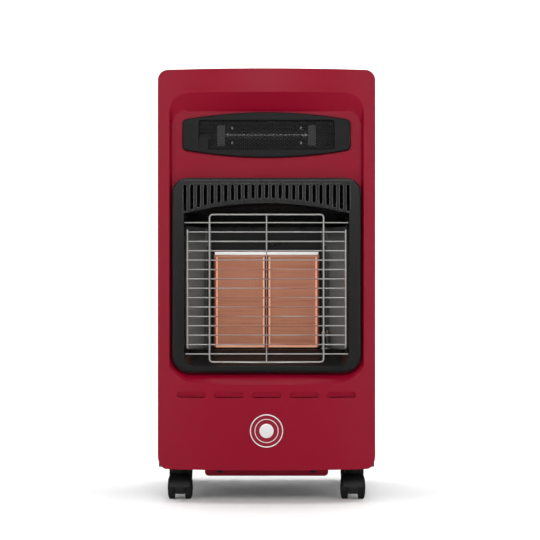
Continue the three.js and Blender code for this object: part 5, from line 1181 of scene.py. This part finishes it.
def polylines(paths):
    """Edges through the points of each path; a path that ends where it starts is closed."""
    bm = bmesh.new()
    for path in paths:
        closed = math.dist(path[0], path[-1]) < 1e-7
        points = [bm.verts.new(p) for p in (path[:-1] if closed else path)]
        for a, b in zip(points, points[1:] + points[:1] if closed else points[1:]):
            bm.edges.new((a, b))
    return to_mesh(bm)


def swept_wires(paths, thickness, bend, finish_name):
    """Round wires along paths, their corners bent to a radius."""
    tree = Repeat("swept_wires", finish_name, Thickness=thickness, Bend=bend, Sides=12)
    curve = tree.node("GeometryNodeMeshToCurve", {"Mesh": tree["Geometry"]})
    bent = tree.node("GeometryNodeFilletCurve", {
        "Curve": curve, "Radius": tree["Bend"], "Count": 8, "Limit Radius": True}, mode="POLY")
    half = tree.math("MULTIPLY", tree["Thickness"], 0.5)
    ring = tree.node("GeometryNodeCurvePrimitiveCircle", {"Resolution": tree["Sides"], "Radius": half})
    tube = tree.node("GeometryNodeCurveToMesh", {"Curve": bent, "Profile Curve": ring, "Fill Caps": True})
    return tree.run(tube, polylines(paths), True)


def screw_head(radius, height):
    """Pan head with a cross recess, its seat at the origin, facing +Z."""
    head = turned([(0.0, -height * 0.2), (radius, -height * 0.2), (radius, height * 0.25)]
                  + [(radius * math.cos(a), height * (0.25 + 0.75 * math.sin(a)))
                     for a in map(math.radians, (25, 50, 70))] + [(0.0, height)], 20)
    arm, half = radius * 0.55, radius * 0.13
    return cut(head, *[block(-u, u, -v, v, height * 0.45, height * 2) for u, v in ((arm, half), (half, arm))])


def screws(places, radius, height, finish_name):
    """Screw heads at (point, facing) places."""
    mesh = bpy.data.meshes.new("form")
    mesh.from_pydata([point for point, _ in places], [], [])
    facing = mesh.attributes.new("facing", "FLOAT_VECTOR", "POINT")
    facing.data.foreach_set("vector", [v for _, direction in places for v in direction])
    head = shown(screw_head(radius, height), "screw_head")
    tree = Repeat("screws", finish_name, Head=head, Seed=7)
    shape = tree.node("GeometryNodeObjectInfo", {"Object": tree["Head"]}, "Geometry")
    way = tree.node("GeometryNodeInputNamedAttribute", {"Name": "facing"}, data_type="FLOAT_VECTOR")
    spin = tree.node("FunctionNodeRandomValue", {
        "Min": (0.0, 0.0, 0.0), "Max": (0.0, 0.0, 3.14), "Seed": tree["Seed"]}, data_type="FLOAT_VECTOR")
    aimed = tree.node("FunctionNodeAlignRotationToVector", {"Vector": way}, axis="Z")
    spun = tree.node("FunctionNodeRotateRotation", {"Rotation": aimed, "Rotate By": spin},
                     rotation_space="LOCAL")
    copies = tree.node("GeometryNodeInstanceOnPoints", {
        "Points": tree["Geometry"], "Instance": shape, "Rotation": spun})
    result = tree.run(copies, mesh)
    bpy.data.objects.remove(head)
    return result


def diamond_mesh(half_wide, half_high, pitch, rise, strand, thick, finish_name):
    """Flat mesh of diamonds in XY about the origin, each strand a bar."""
    tree = Repeat("diamond_mesh", finish_name, Half_width=half_wide, Half_height=half_high, Pitch=pitch,
                  Rise=rise, Strand=strand, Thickness=thick)
    (size_x, columns), (size_y, rows) = (
        (size, tree.math("ADD", tree.math("ROUND", tree.math("DIVIDE", size, tree[step]), 0.0), 1.0))
        for size, step in ((tree.math("MULTIPLY", tree["Half width"], 2.0), "Pitch"),
                           (tree.math("MULTIPLY", tree["Half height"], 2.0), "Rise")))
    grid = tree.node("GeometryNodeMeshGrid", {
        "Size X": size_x, "Size Y": size_y, "Vertices X": columns, "Vertices Y": rows})
    half_rise = tree.math("MULTIPLY", tree["Rise"], 0.5)
    cell = tree.node("GeometryNodeCurvePrimitiveQuadrilateral", {
        "Width": tree["Pitch"], "Top Height": half_rise, "Bottom Height": half_rise}, mode="KITE")
    bar = tree.node("GeometryNodeCurvePrimitiveQuadrilateral", {
        "Width": tree["Strand"], "Height": tree["Thickness"]}, mode="RECTANGLE")
    strands = tree.node("GeometryNodeCurveToMesh", {"Curve": cell, "Profile Curve": bar})
    return tree.run(tree.node("GeometryNodeInstanceOnPoints", {"Points": grid, "Instance": strands}))


def coil(turns, radius, span, wire, finish_name):
    """A close helix about Z from 0 to its span."""
    tree = Repeat("heating_coil", finish_name, Turns=float(turns), Radius=radius, Span=span, Wire=wire)
    spiral = tree.node("GeometryNodeCurveSpiral", {
        "Resolution": 14, "Rotations": tree["Turns"], "Start Radius": tree["Radius"],
        "End Radius": tree["Radius"], "Height": tree["Span"]})
    ring = tree.node("GeometryNodeCurvePrimitiveCircle", {"Resolution": 6, "Radius": tree["Wire"]})
    return tree.run(tree.node("GeometryNodeCurveToMesh", {
        "Curve": spiral, "Profile Curve": ring, "Fill Caps": True}), None, True)


def ribs_round(copies_count, radius, rib, finish_name):
    """Copies of a rib drawn at +X, spread evenly round Z at a radius."""
    rib_object = shown(rib, "rib")
    tree = Repeat("ribs_round", finish_name, Rib=rib_object, Copies=copies_count, Radius=radius)
    circle = tree.node("GeometryNodeMeshCircle", {"Vertices": tree["Copies"], "Radius": tree["Radius"]})
    spot = tree.node("GeometryNodeInputPosition")
    aimed = tree.node("FunctionNodeAlignRotationToVector", {"Vector": spot}, axis="X", pivot_axis="Z")
    shape = tree.node("GeometryNodeObjectInfo", {"Object": tree["Rib"]}, "Geometry")
    result = tree.run(tree.node("GeometryNodeInstanceOnPoints", {
        "Points": circle, "Instance": shape, "Rotation": aimed}))
    bpy.data.objects.remove(rib_object)
    return result


# ---------------------------------------------------------------- guard, mesh and element

# Half width, foot and head of the guard's bent ring; the split where its ends meet at the foot.
RING_HALF, RING_LOW, RING_HIGH, RING_SPLIT, RING_BEND = 0.0966, 0.239, 0.489, 0.004, 0.0055
TOP_ROW, BOTTOM_ROW, INNER_ROW_REACH, ROW_BEND = 0.4753, 0.2526, 0.1361, 0.007
# The level wires lie this far behind the surround's face; the upright ones are welded into them.
ROWS_BEHIND_FACE, WELD_DEPTH = 0.008, 0.0004
UPRIGHT_X, UPRIGHT_LOW, UPRIGHT_HIGH = 0.134, 0.263, 0.4635
MESH_HALF, MESH_HALF_HEIGHT, MESH_THICK = 0.1175, 0.0275, 0.0009
# The mesh's rim, outside the window's sight.
RIM_OUTER, RIM_INNER = 0.0047, 0.0015
TUBE_WALL, CAP_LENGTH, BAND_PLACE, CLIP_PLACE = 0.0011, 0.006, 0.0115, 0.0190


def fire_half_at(forward, z):
    """Half width of the fire opening at a height, narrower in its rounded lower corners."""
    half, corner = FUNNEL_HALF + FLARE * forward, FUNNEL_CORNER
    below = max(corner - (z - (FUNNEL_SILL - SILL_FALL * forward)), 0.0)
    return half - corner + math.sqrt(max(corner ** 2 - below ** 2, 0.0))


def make_guard():
    fire, at = setting("fire"), surround_places()
    row_y = at["face"] + ROWS_BEHIND_FACE
    front_y = row_y - (fire.wire + fire.row_wire) / 2 + WELD_DEPTH
    radius = fire.wire / 2
    rows = []
    for i in range(fire.rows):
        z = TOP_ROW - i * (TOP_ROW - BOTTOM_ROW) / (fire.rows - 1)
        reach = fire_half_at(at["funnel"] - row_y - radius, z - radius) - GAP
        if 0 < i < fire.rows - 1:
            reach = min(reach, INNER_ROW_REACH)
        rows.append([(-reach, row_y, z), (reach, row_y, z)])
    ring = at_depth([
        (RING_SPLIT, RING_LOW), (RING_HALF, RING_LOW), (RING_HALF, RING_HIGH), (-RING_HALF, RING_HIGH),
        (-RING_HALF, RING_LOW), (-RING_SPLIT, RING_LOW), (RING_SPLIT, RING_LOW)], front_y)
    uprights = [at_depth([(x, UPRIGHT_LOW), (x, UPRIGHT_HIGH)], front_y) for x in (-UPRIGHT_X, UPRIGHT_X)]
    rows.append(at_depth([(0.0, RING_LOW), (0.0, RING_HIGH)], front_y + 0.0003))
    thick = swept_wires([ring] + uprights, fire.wire, RING_BEND, "plated_wire")
    thin = swept_wires(rows, fire.row_wire, ROW_BEND, "plated_wire")
    place("wire_guard_finished", merged([thick, thin]), BODY, "bright_steel", ["plated_wire"], ["wire_guard"])


def make_window_mesh():
    w = setting("window")
    front = panel_places()["field"] - REBATE
    strands = diamond_mesh(
        MESH_HALF, MESH_HALF_HEIGHT, w.mesh_pitch, w.mesh_rise, w.strand, MESH_THICK, "mesh_steel")
    shifted(moved(strands, turn(90, "X")), 0.0, front + 0.0005, w.middle)
    rim = cut(along_y(sight_outline(RIM_OUTER), front, front + 0.001),
              along_y(sight_outline(RIM_INNER), front - 0.001, front + 0.002))
    place("window_mesh_finished", merged([strands, rim]), BODY, "dark_enamel",
          ["mesh_steel"], ["window_mesh"])


def make_tube(y, z, radius, half):
    """Glass tube from end to end along X, with its coil and end caps."""
    tube = turned([
        (0.0, -half), (radius - 0.0006, -half), (radius, 0.0006 - half), (radius, half - 0.0006),
        (radius - 0.0006, half), (0.0, half)], 40)
    glass = numbered(cut(tube, disc(radius - TUBE_WALL, 0.004 - half, half - 0.004, 40)), 0)
    turns, span = setting("window").coil_turns, 2 * half - 0.020
    wire = numbered(shifted(coil(turns, radius * 0.58, span, 0.0006, "coil_wire"), z=-span / 2), 1)
    caps = [numbered(disc(radius + 0.0004, low, high, 32), 2)
            for low, high in ((-half, CAP_LENGTH - half), (half - CAP_LENGTH, half))]
    along = Matrix.Translation((0.0, y, z)) @ turn(90, "Y")
    place("quartz_tube_finished", smoothed(moved(merged([glass, wire, *caps]), along)), BODY, "quartz",
          ["quartz_glass", "coil_wire", "dark_steel"], ["quartz_tube"])


def make_holder(node, side, y, z, radius):
    """Ceramic tube holder with its two spring clips and the band round the tube."""
    near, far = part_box(node)
    middle = (near.x + far.x) / 2
    holder = numbered(softened(frame_copy(node), 0.0009, 30.0), 0)
    cx, clips = middle - side * CLIP_PLACE, []
    for rise in (-1, 1):
        cz = z + rise * (radius + 0.0058)
        clips.append(block(cx - 0.0016, cx + 0.0016, y - 0.0085, y - 0.0075, cz - 0.0022, cz + 0.0022))
    band = cut(*[
        shifted(moved(disc(radius + more, -half, half, 32), turn(90, "Y")), middle - side * BAND_PLACE, y, z)
        for more, half in ((0.0010, 0.0017), (0.0005, 0.003))])
    place(node + "_finished", merged([holder, numbered(merged(clips), 1), numbered(band, 2)]), BODY,
          "white_ceramic", ["insulator", "plated_wire", "dark_steel"], [node])


def make_element():
    low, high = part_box("quartz_tube")
    y, z, radius = (low.y + high.y) / 2, setting("window").middle, (high.z - low.z) / 2
    make_tube(y, z, radius, (high.x - low.x) / 2)
    make_holder("left_tube_holder", -1, y, z, radius)
    make_holder("right_tube_holder", 1, y, z, radius)
    dressed_node("element_trough", "grey_steel", "heat_enamel")


# ---------------------------------------------------------------- gas fire


def make_burner():
    for side in ("left", "right"):
        dressed_node(f"{side}_plaque", "plaque_ceramic", "burner_clay", 0.0005)
        dressed_node(f"{side}_reflector", "grey_steel", "fire_steel")
    dressed_node("burner_frame", "bright_steel", "copper_lit_frame", 0.0003)
    dressed_node("top_strip", "bright_steel", "bright_strip", 0.0003)
    dressed_node("burner_chamber", "grey_steel", "heat_enamel")
    dressed_node("fire_hood", "dark_enamel", "heat_enamel")
    dressed_node("fire_shelf", "grey_steel", "heat_enamel")
    dressed_node("venturi_tube", "grey_steel", "zinc_steel", 0.0002, 40.0)


def make_gas_train():
    for node, slot, name in (
            ("injector", "brass", "brass_fitting"), ("gas_valve", "brass", "brass_fitting"),
            ("gas_inlet", "brass", "brass_fitting"), ("gas_pipe", "copper", "copper_pipe"),
            ("pilot_pipe", "copper", "copper_pipe"), ("pilot_burner", "grey_steel", "rolled_steel"),
            ("thermocouple", "copper", "copper_pipe"), ("spark_electrode", "white_ceramic", "insulator")):
        dressed_node(node, slot, name, 0.0002, 46.0)


# ---------------------------------------------------------------- cabinet

SCREW_RADIUS, SCREW_HEIGHT = 0.0034, 0.0018
# Screws of both halves: x and whether they face outwards, whether they face back, and their (y, z) places.
SCREWED = (
    ((0.185, 1.0), 0.0, ((-0.125, 0.072), (0.02, 0.072), (0.170, 0.072))),
    ((0.150, 0.0), 1.0, ((0.196, 0.706),)),
    ((0.1005, 0.0), -1.0, ((-0.0966, 0.28), (-0.0966, 0.44))),
)


def make_cabinet():
    for side in ("left", "right"):
        dressed_node(f"{side}_side_panel", "black_paint", "black_powder_coat", 0.0009, 50.0)
    dressed_node("base_tray", "black_paint", "black_powder_coat", 0.0005, 50.0)
    dressed_node("partition", "grey_steel", "heat_enamel", 0.0004, 50.0)
    dressed_node("rear_cover", "black_paint", "black_powder_coat", 0.0005, 50.0, "rear_cover")
    dressed_node("top_cover", "black_plastic", "grained_black", 0.0008, 50.0)


def make_screws():
    places = [((side * x, y, z), (side * out, back, 0.0))
              for (x, out), back, spots in SCREWED for side in (-1, 1) for y, z in spots]
    mesh = screws(places, SCREW_RADIUS, SCREW_HEIGHT, "dark_steel")
    place("cabinet_screws", mesh, BODY, "grey_steel", ["dark_steel"])


# ---------------------------------------------------------------- controls

KNOB_RIBS = 30
# The dial's dots grow from one to the next on a circle round the knob, on the floor of its well.
DIAL_RADIUS, DIAL_FLOOR, DIAL_ANGLES = 0.0255, 0.7119, (90, 20, -50, -120)


def make_knob(x, y, foot, top, radius):
    core = turned([
        (0.0, foot), (radius - 0.0002, foot), (radius, foot + 0.0004), (radius, foot + 0.0028),
        (radius - 0.0012, foot + 0.0036), (radius - 0.0026, foot + 0.0040), (radius - 0.0040, top - 0.0022),
        (radius - 0.0048, top - 0.0008), (radius - 0.0062, top - 0.0002), (radius - 0.0080, top - 0.0006),
        (0.0, top - 0.0012)], 72)
    rib = softened(block(-0.0009, 0.0009, -0.0007, 0.0007, foot + 0.0042, top - 0.0016), 0.0003)
    ribs = ribs_round(KNOB_RIBS, radius - 0.0036, rib, "grained_black")
    pointer = block(-0.0008, 0.0008, radius * 0.25, radius - 0.0052, top - 0.0014, top - 0.0004)
    knob = merged([softened(core, 0.0), ribs, numbered(pointer, 1)])
    place("control_knob_finished", shifted(knob, x, y), "knob", "black_plastic",
          ["grained_black", "white_mark"], ["control_knob"])


def make_controls():
    low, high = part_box("control_knob")
    x, y = (low.x + high.x) / 2, (low.y + high.y) / 2
    make_knob(x, y, low.z, high.z, (high.x - low.x) / 2)
    dots = []
    for i, a in enumerate(map(math.radians, DIAL_ANGLES)):
        dots.append(shifted(disc(0.0009 + 0.00035 * i, 0.0, 0.0003, 20),
                            x + DIAL_RADIUS * math.cos(a), y + DIAL_RADIUS * math.sin(a), DIAL_FLOOR))
    place("dial_dots", merged(dots), BODY, "black_plastic", ["white_mark"])
    dressed_node("valve_spindle", "brass", "brass_fitting", 0.0002, 46.0, "knob")
    dressed_node("return_collar", "grey_steel", "rolled_steel", 0.0002, 46.0, "valve_collar")
    dressed_node("igniter_body", "black_plastic", "moulded_black", 0.0004, 46.0)
    dressed_node("igniter_button", "red_plastic", "signal_red", 0.0005, 46.0, "igniter_button")
    for side in ("left", "right"):
        dressed_node(f"{side}_switch_body", "black_plastic", "moulded_black")
        dressed_node(f"{side}_rocker", "red_plastic", "signal_red", 0.0006, body=f"{side}_rocker")
    dressed_node("mains_inlet", "black_plastic", "moulded_black")


# ---------------------------------------------------------------- castors

AXLE_BORE, BORE_DEPTH, GROOVE_DEPTH = 0.0028, 0.009, 0.0004


def wheel_mesh(node, stem_x):
    """Wheel with a blind bore, a grooved tread and a dished outer face."""
    low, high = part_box(node)
    side = 1 if (low.x + high.x) / 2 > stem_x else -1
    w, r = high.x - low.x, (high.z - low.z) / 2
    tread = [(r, 0.001)]
    for start in (0.0028, 0.0056):
        tread += [(r, start), (r - GROOVE_DEPTH, start + 0.0002), (r - GROOVE_DEPTH, start + 0.0006),
                  (r, start + 0.0008)]
    mesh = turned([
        (0.0, BORE_DEPTH), (AXLE_BORE, BORE_DEPTH), (AXLE_BORE, 0.0), (r - 0.001, 0.0), (r - 0.0003, 0.0003),
        *tread, (r, w - 0.0046), (r - 0.0006, w - 0.0034), (r - 0.0022, w - 0.0022), (r - 0.0050, w - 0.0014),
        (r * 0.62, w - 0.0008), (r * 0.60, w - 0.0016), (r * 0.30, w - 0.0016), (r * 0.27, w - 0.0002),
        (r * 0.10, w), (0.0, w)], 56)
    return shifted(moved(mesh, turn(90 * side, "Y")), low.x if side > 0 else high.x,
                   (low.y + high.y) / 2, (low.z + high.z) / 2)


def make_castors():
    for corner, stem_x in STEM_X.items():
        body = "castor_" + corner
        dressed_node(body, "black_plastic", "grained_black", 0.0006, 34.0, body)
        dressed_node("axle_" + corner, "grey_steel", "dark_steel", 0.0002, 50.0, body)
        for wheel in ("outer", "inner"):
            node = f"wheel_{corner}_{wheel}"
            mesh = softened(wheel_mesh(node, stem_x), 0.0, 28.0)
            place(node + "_finished", mesh, node, "black_plastic", ["tread_rubber"], [node])


# ---------------------------------------------------------------- stage

# The floor goes over in a cove to an upright wall all round.
FLOOR_RADIUS, COVE, WALL_TOP, AROUND = 4.8, 1.6, 6.0, 72
WORLD_STRENGTH = 0.15
CAMERA_SHIFT = (0.0064, 0.0262)
SENSOR_WIDTH = 36.0
# Where each light stands, what it looks at, its width and height, and its power in watts.
LIGHTS = {
    "overhead": ((0.0, 0.3, 3.2), (0.0, 0.0, 0.0), (4.0, 3.0), 105.0),
    "left_box": ((-2.2, -2.9, 1.1), (0.0, 0.0, 0.4), (1.2, 2.4), 22.0),
    "right_box": ((2.2, -2.9, 1.1), (0.0, 0.0, 0.4), (1.2, 2.4), 22.0),
    "front_fill": ((0.0, -4.2, 2.7), (0.0, 0.0, 0.35), (2.6, 1.6), 40.0),
    "head_light": ((0.0, -3.3, 1.55), (0.0, 0.0, 0.6), (1.0, 0.5), 20.0),
}
# The washes light the wall: distance and height of where they stand and of where they aim, and their size,
# then the way each one looks and its power in watts.
WASH_STAND, WASH_AIM, WASH_SIZE = (2.2, 3.6), (6.0, 1.2), (5.0, 1.0)
WASHES = {"back": (0, 1, 330.0), "left": (-1, 0, 60.0), "right": (1, 0, 60.0), "front": (0, -1, 30.0)}


def area_light(name, location, target, size, power):
    """A lamp that the camera doesn't see."""
    data = bpy.data.lights.new(name, "AREA")
    data.shape = "RECTANGLE"
    data.size, data.size_y = size
    data.energy = power
    lamp = shown(data, name)
    lamp.location = location
    lamp.visible_camera = False
    lamp.rotation_euler = (Vector(target) - Vector(location)).to_track_quat("-Z", "Y").to_euler()


def make_floor():
    """Floor and wall as one turned sheet, open at the top."""
    cove = arc(FLOOR_RADIUS, COVE, COVE, COVE, -90, 0, 24)
    section = [(0.001, 0.0), (FLOOR_RADIUS, 0.0)] + cove[1:] + [(FLOOR_RADIUS + COVE, WALL_TOP)]
    bm = bmesh.new()
    rows = [[bm.verts.new((u * math.sin(a), u * math.cos(a), v)) for u, v in section]
            for a in (2 * math.pi * k / AROUND for k in range(AROUND))]
    for left, right in zip(rows, rows[1:] + rows[:1]):
        for i in range(len(section) - 1):
            bm.faces.new((left[i], right[i], right[i + 1], left[i + 1])).smooth = True
    bmesh.ops.recalc_face_normals(bm, faces=bm.faces)
    bmesh.ops.remove_doubles(bm, verts=bm.verts, dist=0.01)
    floor = shown(to_mesh(bm), "studio_floor")
    floor.data.name = "studio_floor"
    floor.data.materials.append(
        clouded("studio_floor", setting("stage").floor, 0.8, (1.5, 2.0, 0.99, 1.0)).material)
    floor.visible_glossy = False


def make_stage():
    make_floor()
    for name, light in LIGHTS.items():
        area_light(name, *light)
    for side, (x, y, power) in WASHES.items():
        place_and_aim = ((out * x, out * y, z) for out, z in (WASH_STAND, WASH_AIM))
        area_light(f"{side}_wash", *place_and_aim, WASH_SIZE, power)
    scene, stage = bpy.context.scene, setting("stage")
    world = bpy.data.worlds.new("studio")
    world.use_nodes = True
    background = world.node_tree.nodes["Background"]
    background.inputs["Color"].default_value = (1.0, 1.0, 1.0, 1.0)
    background.inputs["Strength"].default_value = WORLD_STRENGTH
    scene.world = world
    scene.view_settings.view_transform = "Standard"
    data = bpy.data.cameras.new("camera")
    data.lens, data.sensor_width = stage.lens, SENSOR_WIDTH
    data.shift_x, data.shift_y = CAMERA_SHIFT
    data.clip_start, data.clip_end = 0.1, 50.0
    camera = shown(data, "camera")
    camera.location = (0.0, -stage.distance, stage.camera_height)
    camera.rotation_euler = (math.radians(90), 0.0, 0.0)
    scene.camera = camera




# ---------------------------------------------------------------- operators, panel and run


class HEATER_OT_stage(bpy.types.Operator):
    """Pale floor, soft studio lights and the camera"""

    bl_idname = "heater.stage"
    bl_label = "Stage"

    def execute(self, context):
        make_stage()
        return {"FINISHED"}


class HEATER_OT_front_panel(bpy.types.Operator):
    """Red bowed front with its recess, louvres and fixing tab"""

    bl_idname = "heater.front_panel"
    bl_label = "Front panel"

    def execute(self, context):
        make_front_panel()
        return {"FINISHED"}


class HEATER_OT_badge(bpy.types.Operator):
    """Plain round badge with a silver rim and a domed middle"""

    bl_idname = "heater.badge"
    bl_label = "Badge"

    def execute(self, context):
        make_badge()
        return {"FINISHED"}


class HEATER_OT_surround(bpy.types.Operator):
    """Black surround with its air slots and the funnel round the fire"""

    bl_idname = "heater.surround"
    bl_label = "Fire surround"

    def execute(self, context):
        make_surround()
        return {"FINISHED"}


class HEATER_OT_guard(bpy.types.Operator):
    """Plated wires in front of the fire"""

    bl_idname = "heater.guard"
    bl_label = "Wire guard"

    def execute(self, context):
        make_guard()
        return {"FINISHED"}


class HEATER_OT_window(bpy.types.Operator):
    """Bezel and diamond mesh of the upper window"""

    bl_idname = "heater.window"
    bl_label = "Window"

    def execute(self, context):
        make_window_bezel()
        make_window_mesh()
        return {"FINISHED"}


class HEATER_OT_element(bpy.types.Operator):
    """Quartz tube with its coil, holders and trough"""

    bl_idname = "heater.element"
    bl_label = "Quartz element"

    def execute(self, context):
        make_element()
        return {"FINISHED"}


class HEATER_OT_burner(bpy.types.Operator):
    """Plaques, their frame, the reflectors and the mixing tube"""

    bl_idname = "heater.burner"
    bl_label = "Gas burner"

    def execute(self, context):
        make_burner()
        return {"FINISHED"}


class HEATER_OT_gas_train(bpy.types.Operator):
    """Inlet, valve, pipes, pilot and flame probe"""

    bl_idname = "heater.gas_train"
    bl_label = "Gas train"

    def execute(self, context):
        make_gas_train()
        return {"FINISHED"}


class HEATER_OT_cabinet(bpy.types.Operator):
    """Side panels, base, partition, lid and back cover"""

    bl_idname = "heater.cabinet"
    bl_label = "Cabinet"

    def execute(self, context):
        make_cabinet()
        return {"FINISHED"}


class HEATER_OT_screws(bpy.types.Operator):
    """Screws of the cabinet"""

    bl_idname = "heater.screws"
    bl_label = "Screws"

    def execute(self, context):
        make_screws()
        return {"FINISHED"}


class HEATER_OT_controls(bpy.types.Operator):
    """Knob, igniter, rocker switches and mains inlet"""

    bl_idname = "heater.controls"
    bl_label = "Controls"

    def execute(self, context):
        make_controls()
        return {"FINISHED"}


class HEATER_OT_castors(bpy.types.Operator):
    """Castor housings, axles and wheels"""

    bl_idname = "heater.castors"
    bl_label = "Castors"

    def execute(self, context):
        make_castors()
        return {"FINISHED"}


OPERATORS = (
    HEATER_OT_stage,
    HEATER_OT_front_panel,
    HEATER_OT_badge,
    HEATER_OT_surround,
    HEATER_OT_guard,
    HEATER_OT_window,
    HEATER_OT_element,
    HEATER_OT_burner,
    HEATER_OT_gas_train,
    HEATER_OT_cabinet,
    HEATER_OT_screws,
    HEATER_OT_controls,
    HEATER_OT_castors,
)


class HEATER_PT_pieces(bpy.types.Panel):
    """Lists the heater's pieces and the sizes and colours they are made from"""

    bl_idname = "HEATER_PT_pieces"
    bl_label = "Cabinet heater"
    bl_space_type = "VIEW_3D"
    bl_region_type = "UI"
    bl_category = "Heater"

    def draw(self, context):
        for operator in OPERATORS:
            self.layout.operator(operator.bl_idname)
        for key, group in SETTINGS.items():
            box = self.layout.box()
            for name in group.__annotations__:
                box.prop(getattr(context.scene, key), name)


CLASSES = (*SETTINGS.values(), *OPERATORS, HEATER_PT_pieces)


def register():
    for cls in CLASSES:
        bpy.utils.register_class(cls)
    for key, group in SETTINGS.items():
        setattr(bpy.types.Scene, key, bpy.props.PointerProperty(type=group))


def unregister():
    for key in SETTINGS:
        delattr(bpy.types.Scene, key)
    for cls in reversed(CLASSES):
        bpy.utils.unregister_class(cls)


def main():
    register()
    for operator in OPERATORS:
        getattr(bpy.ops.heater, operator.bl_idname.split(".")[1])()


if __name__ == "__main__":
    main()
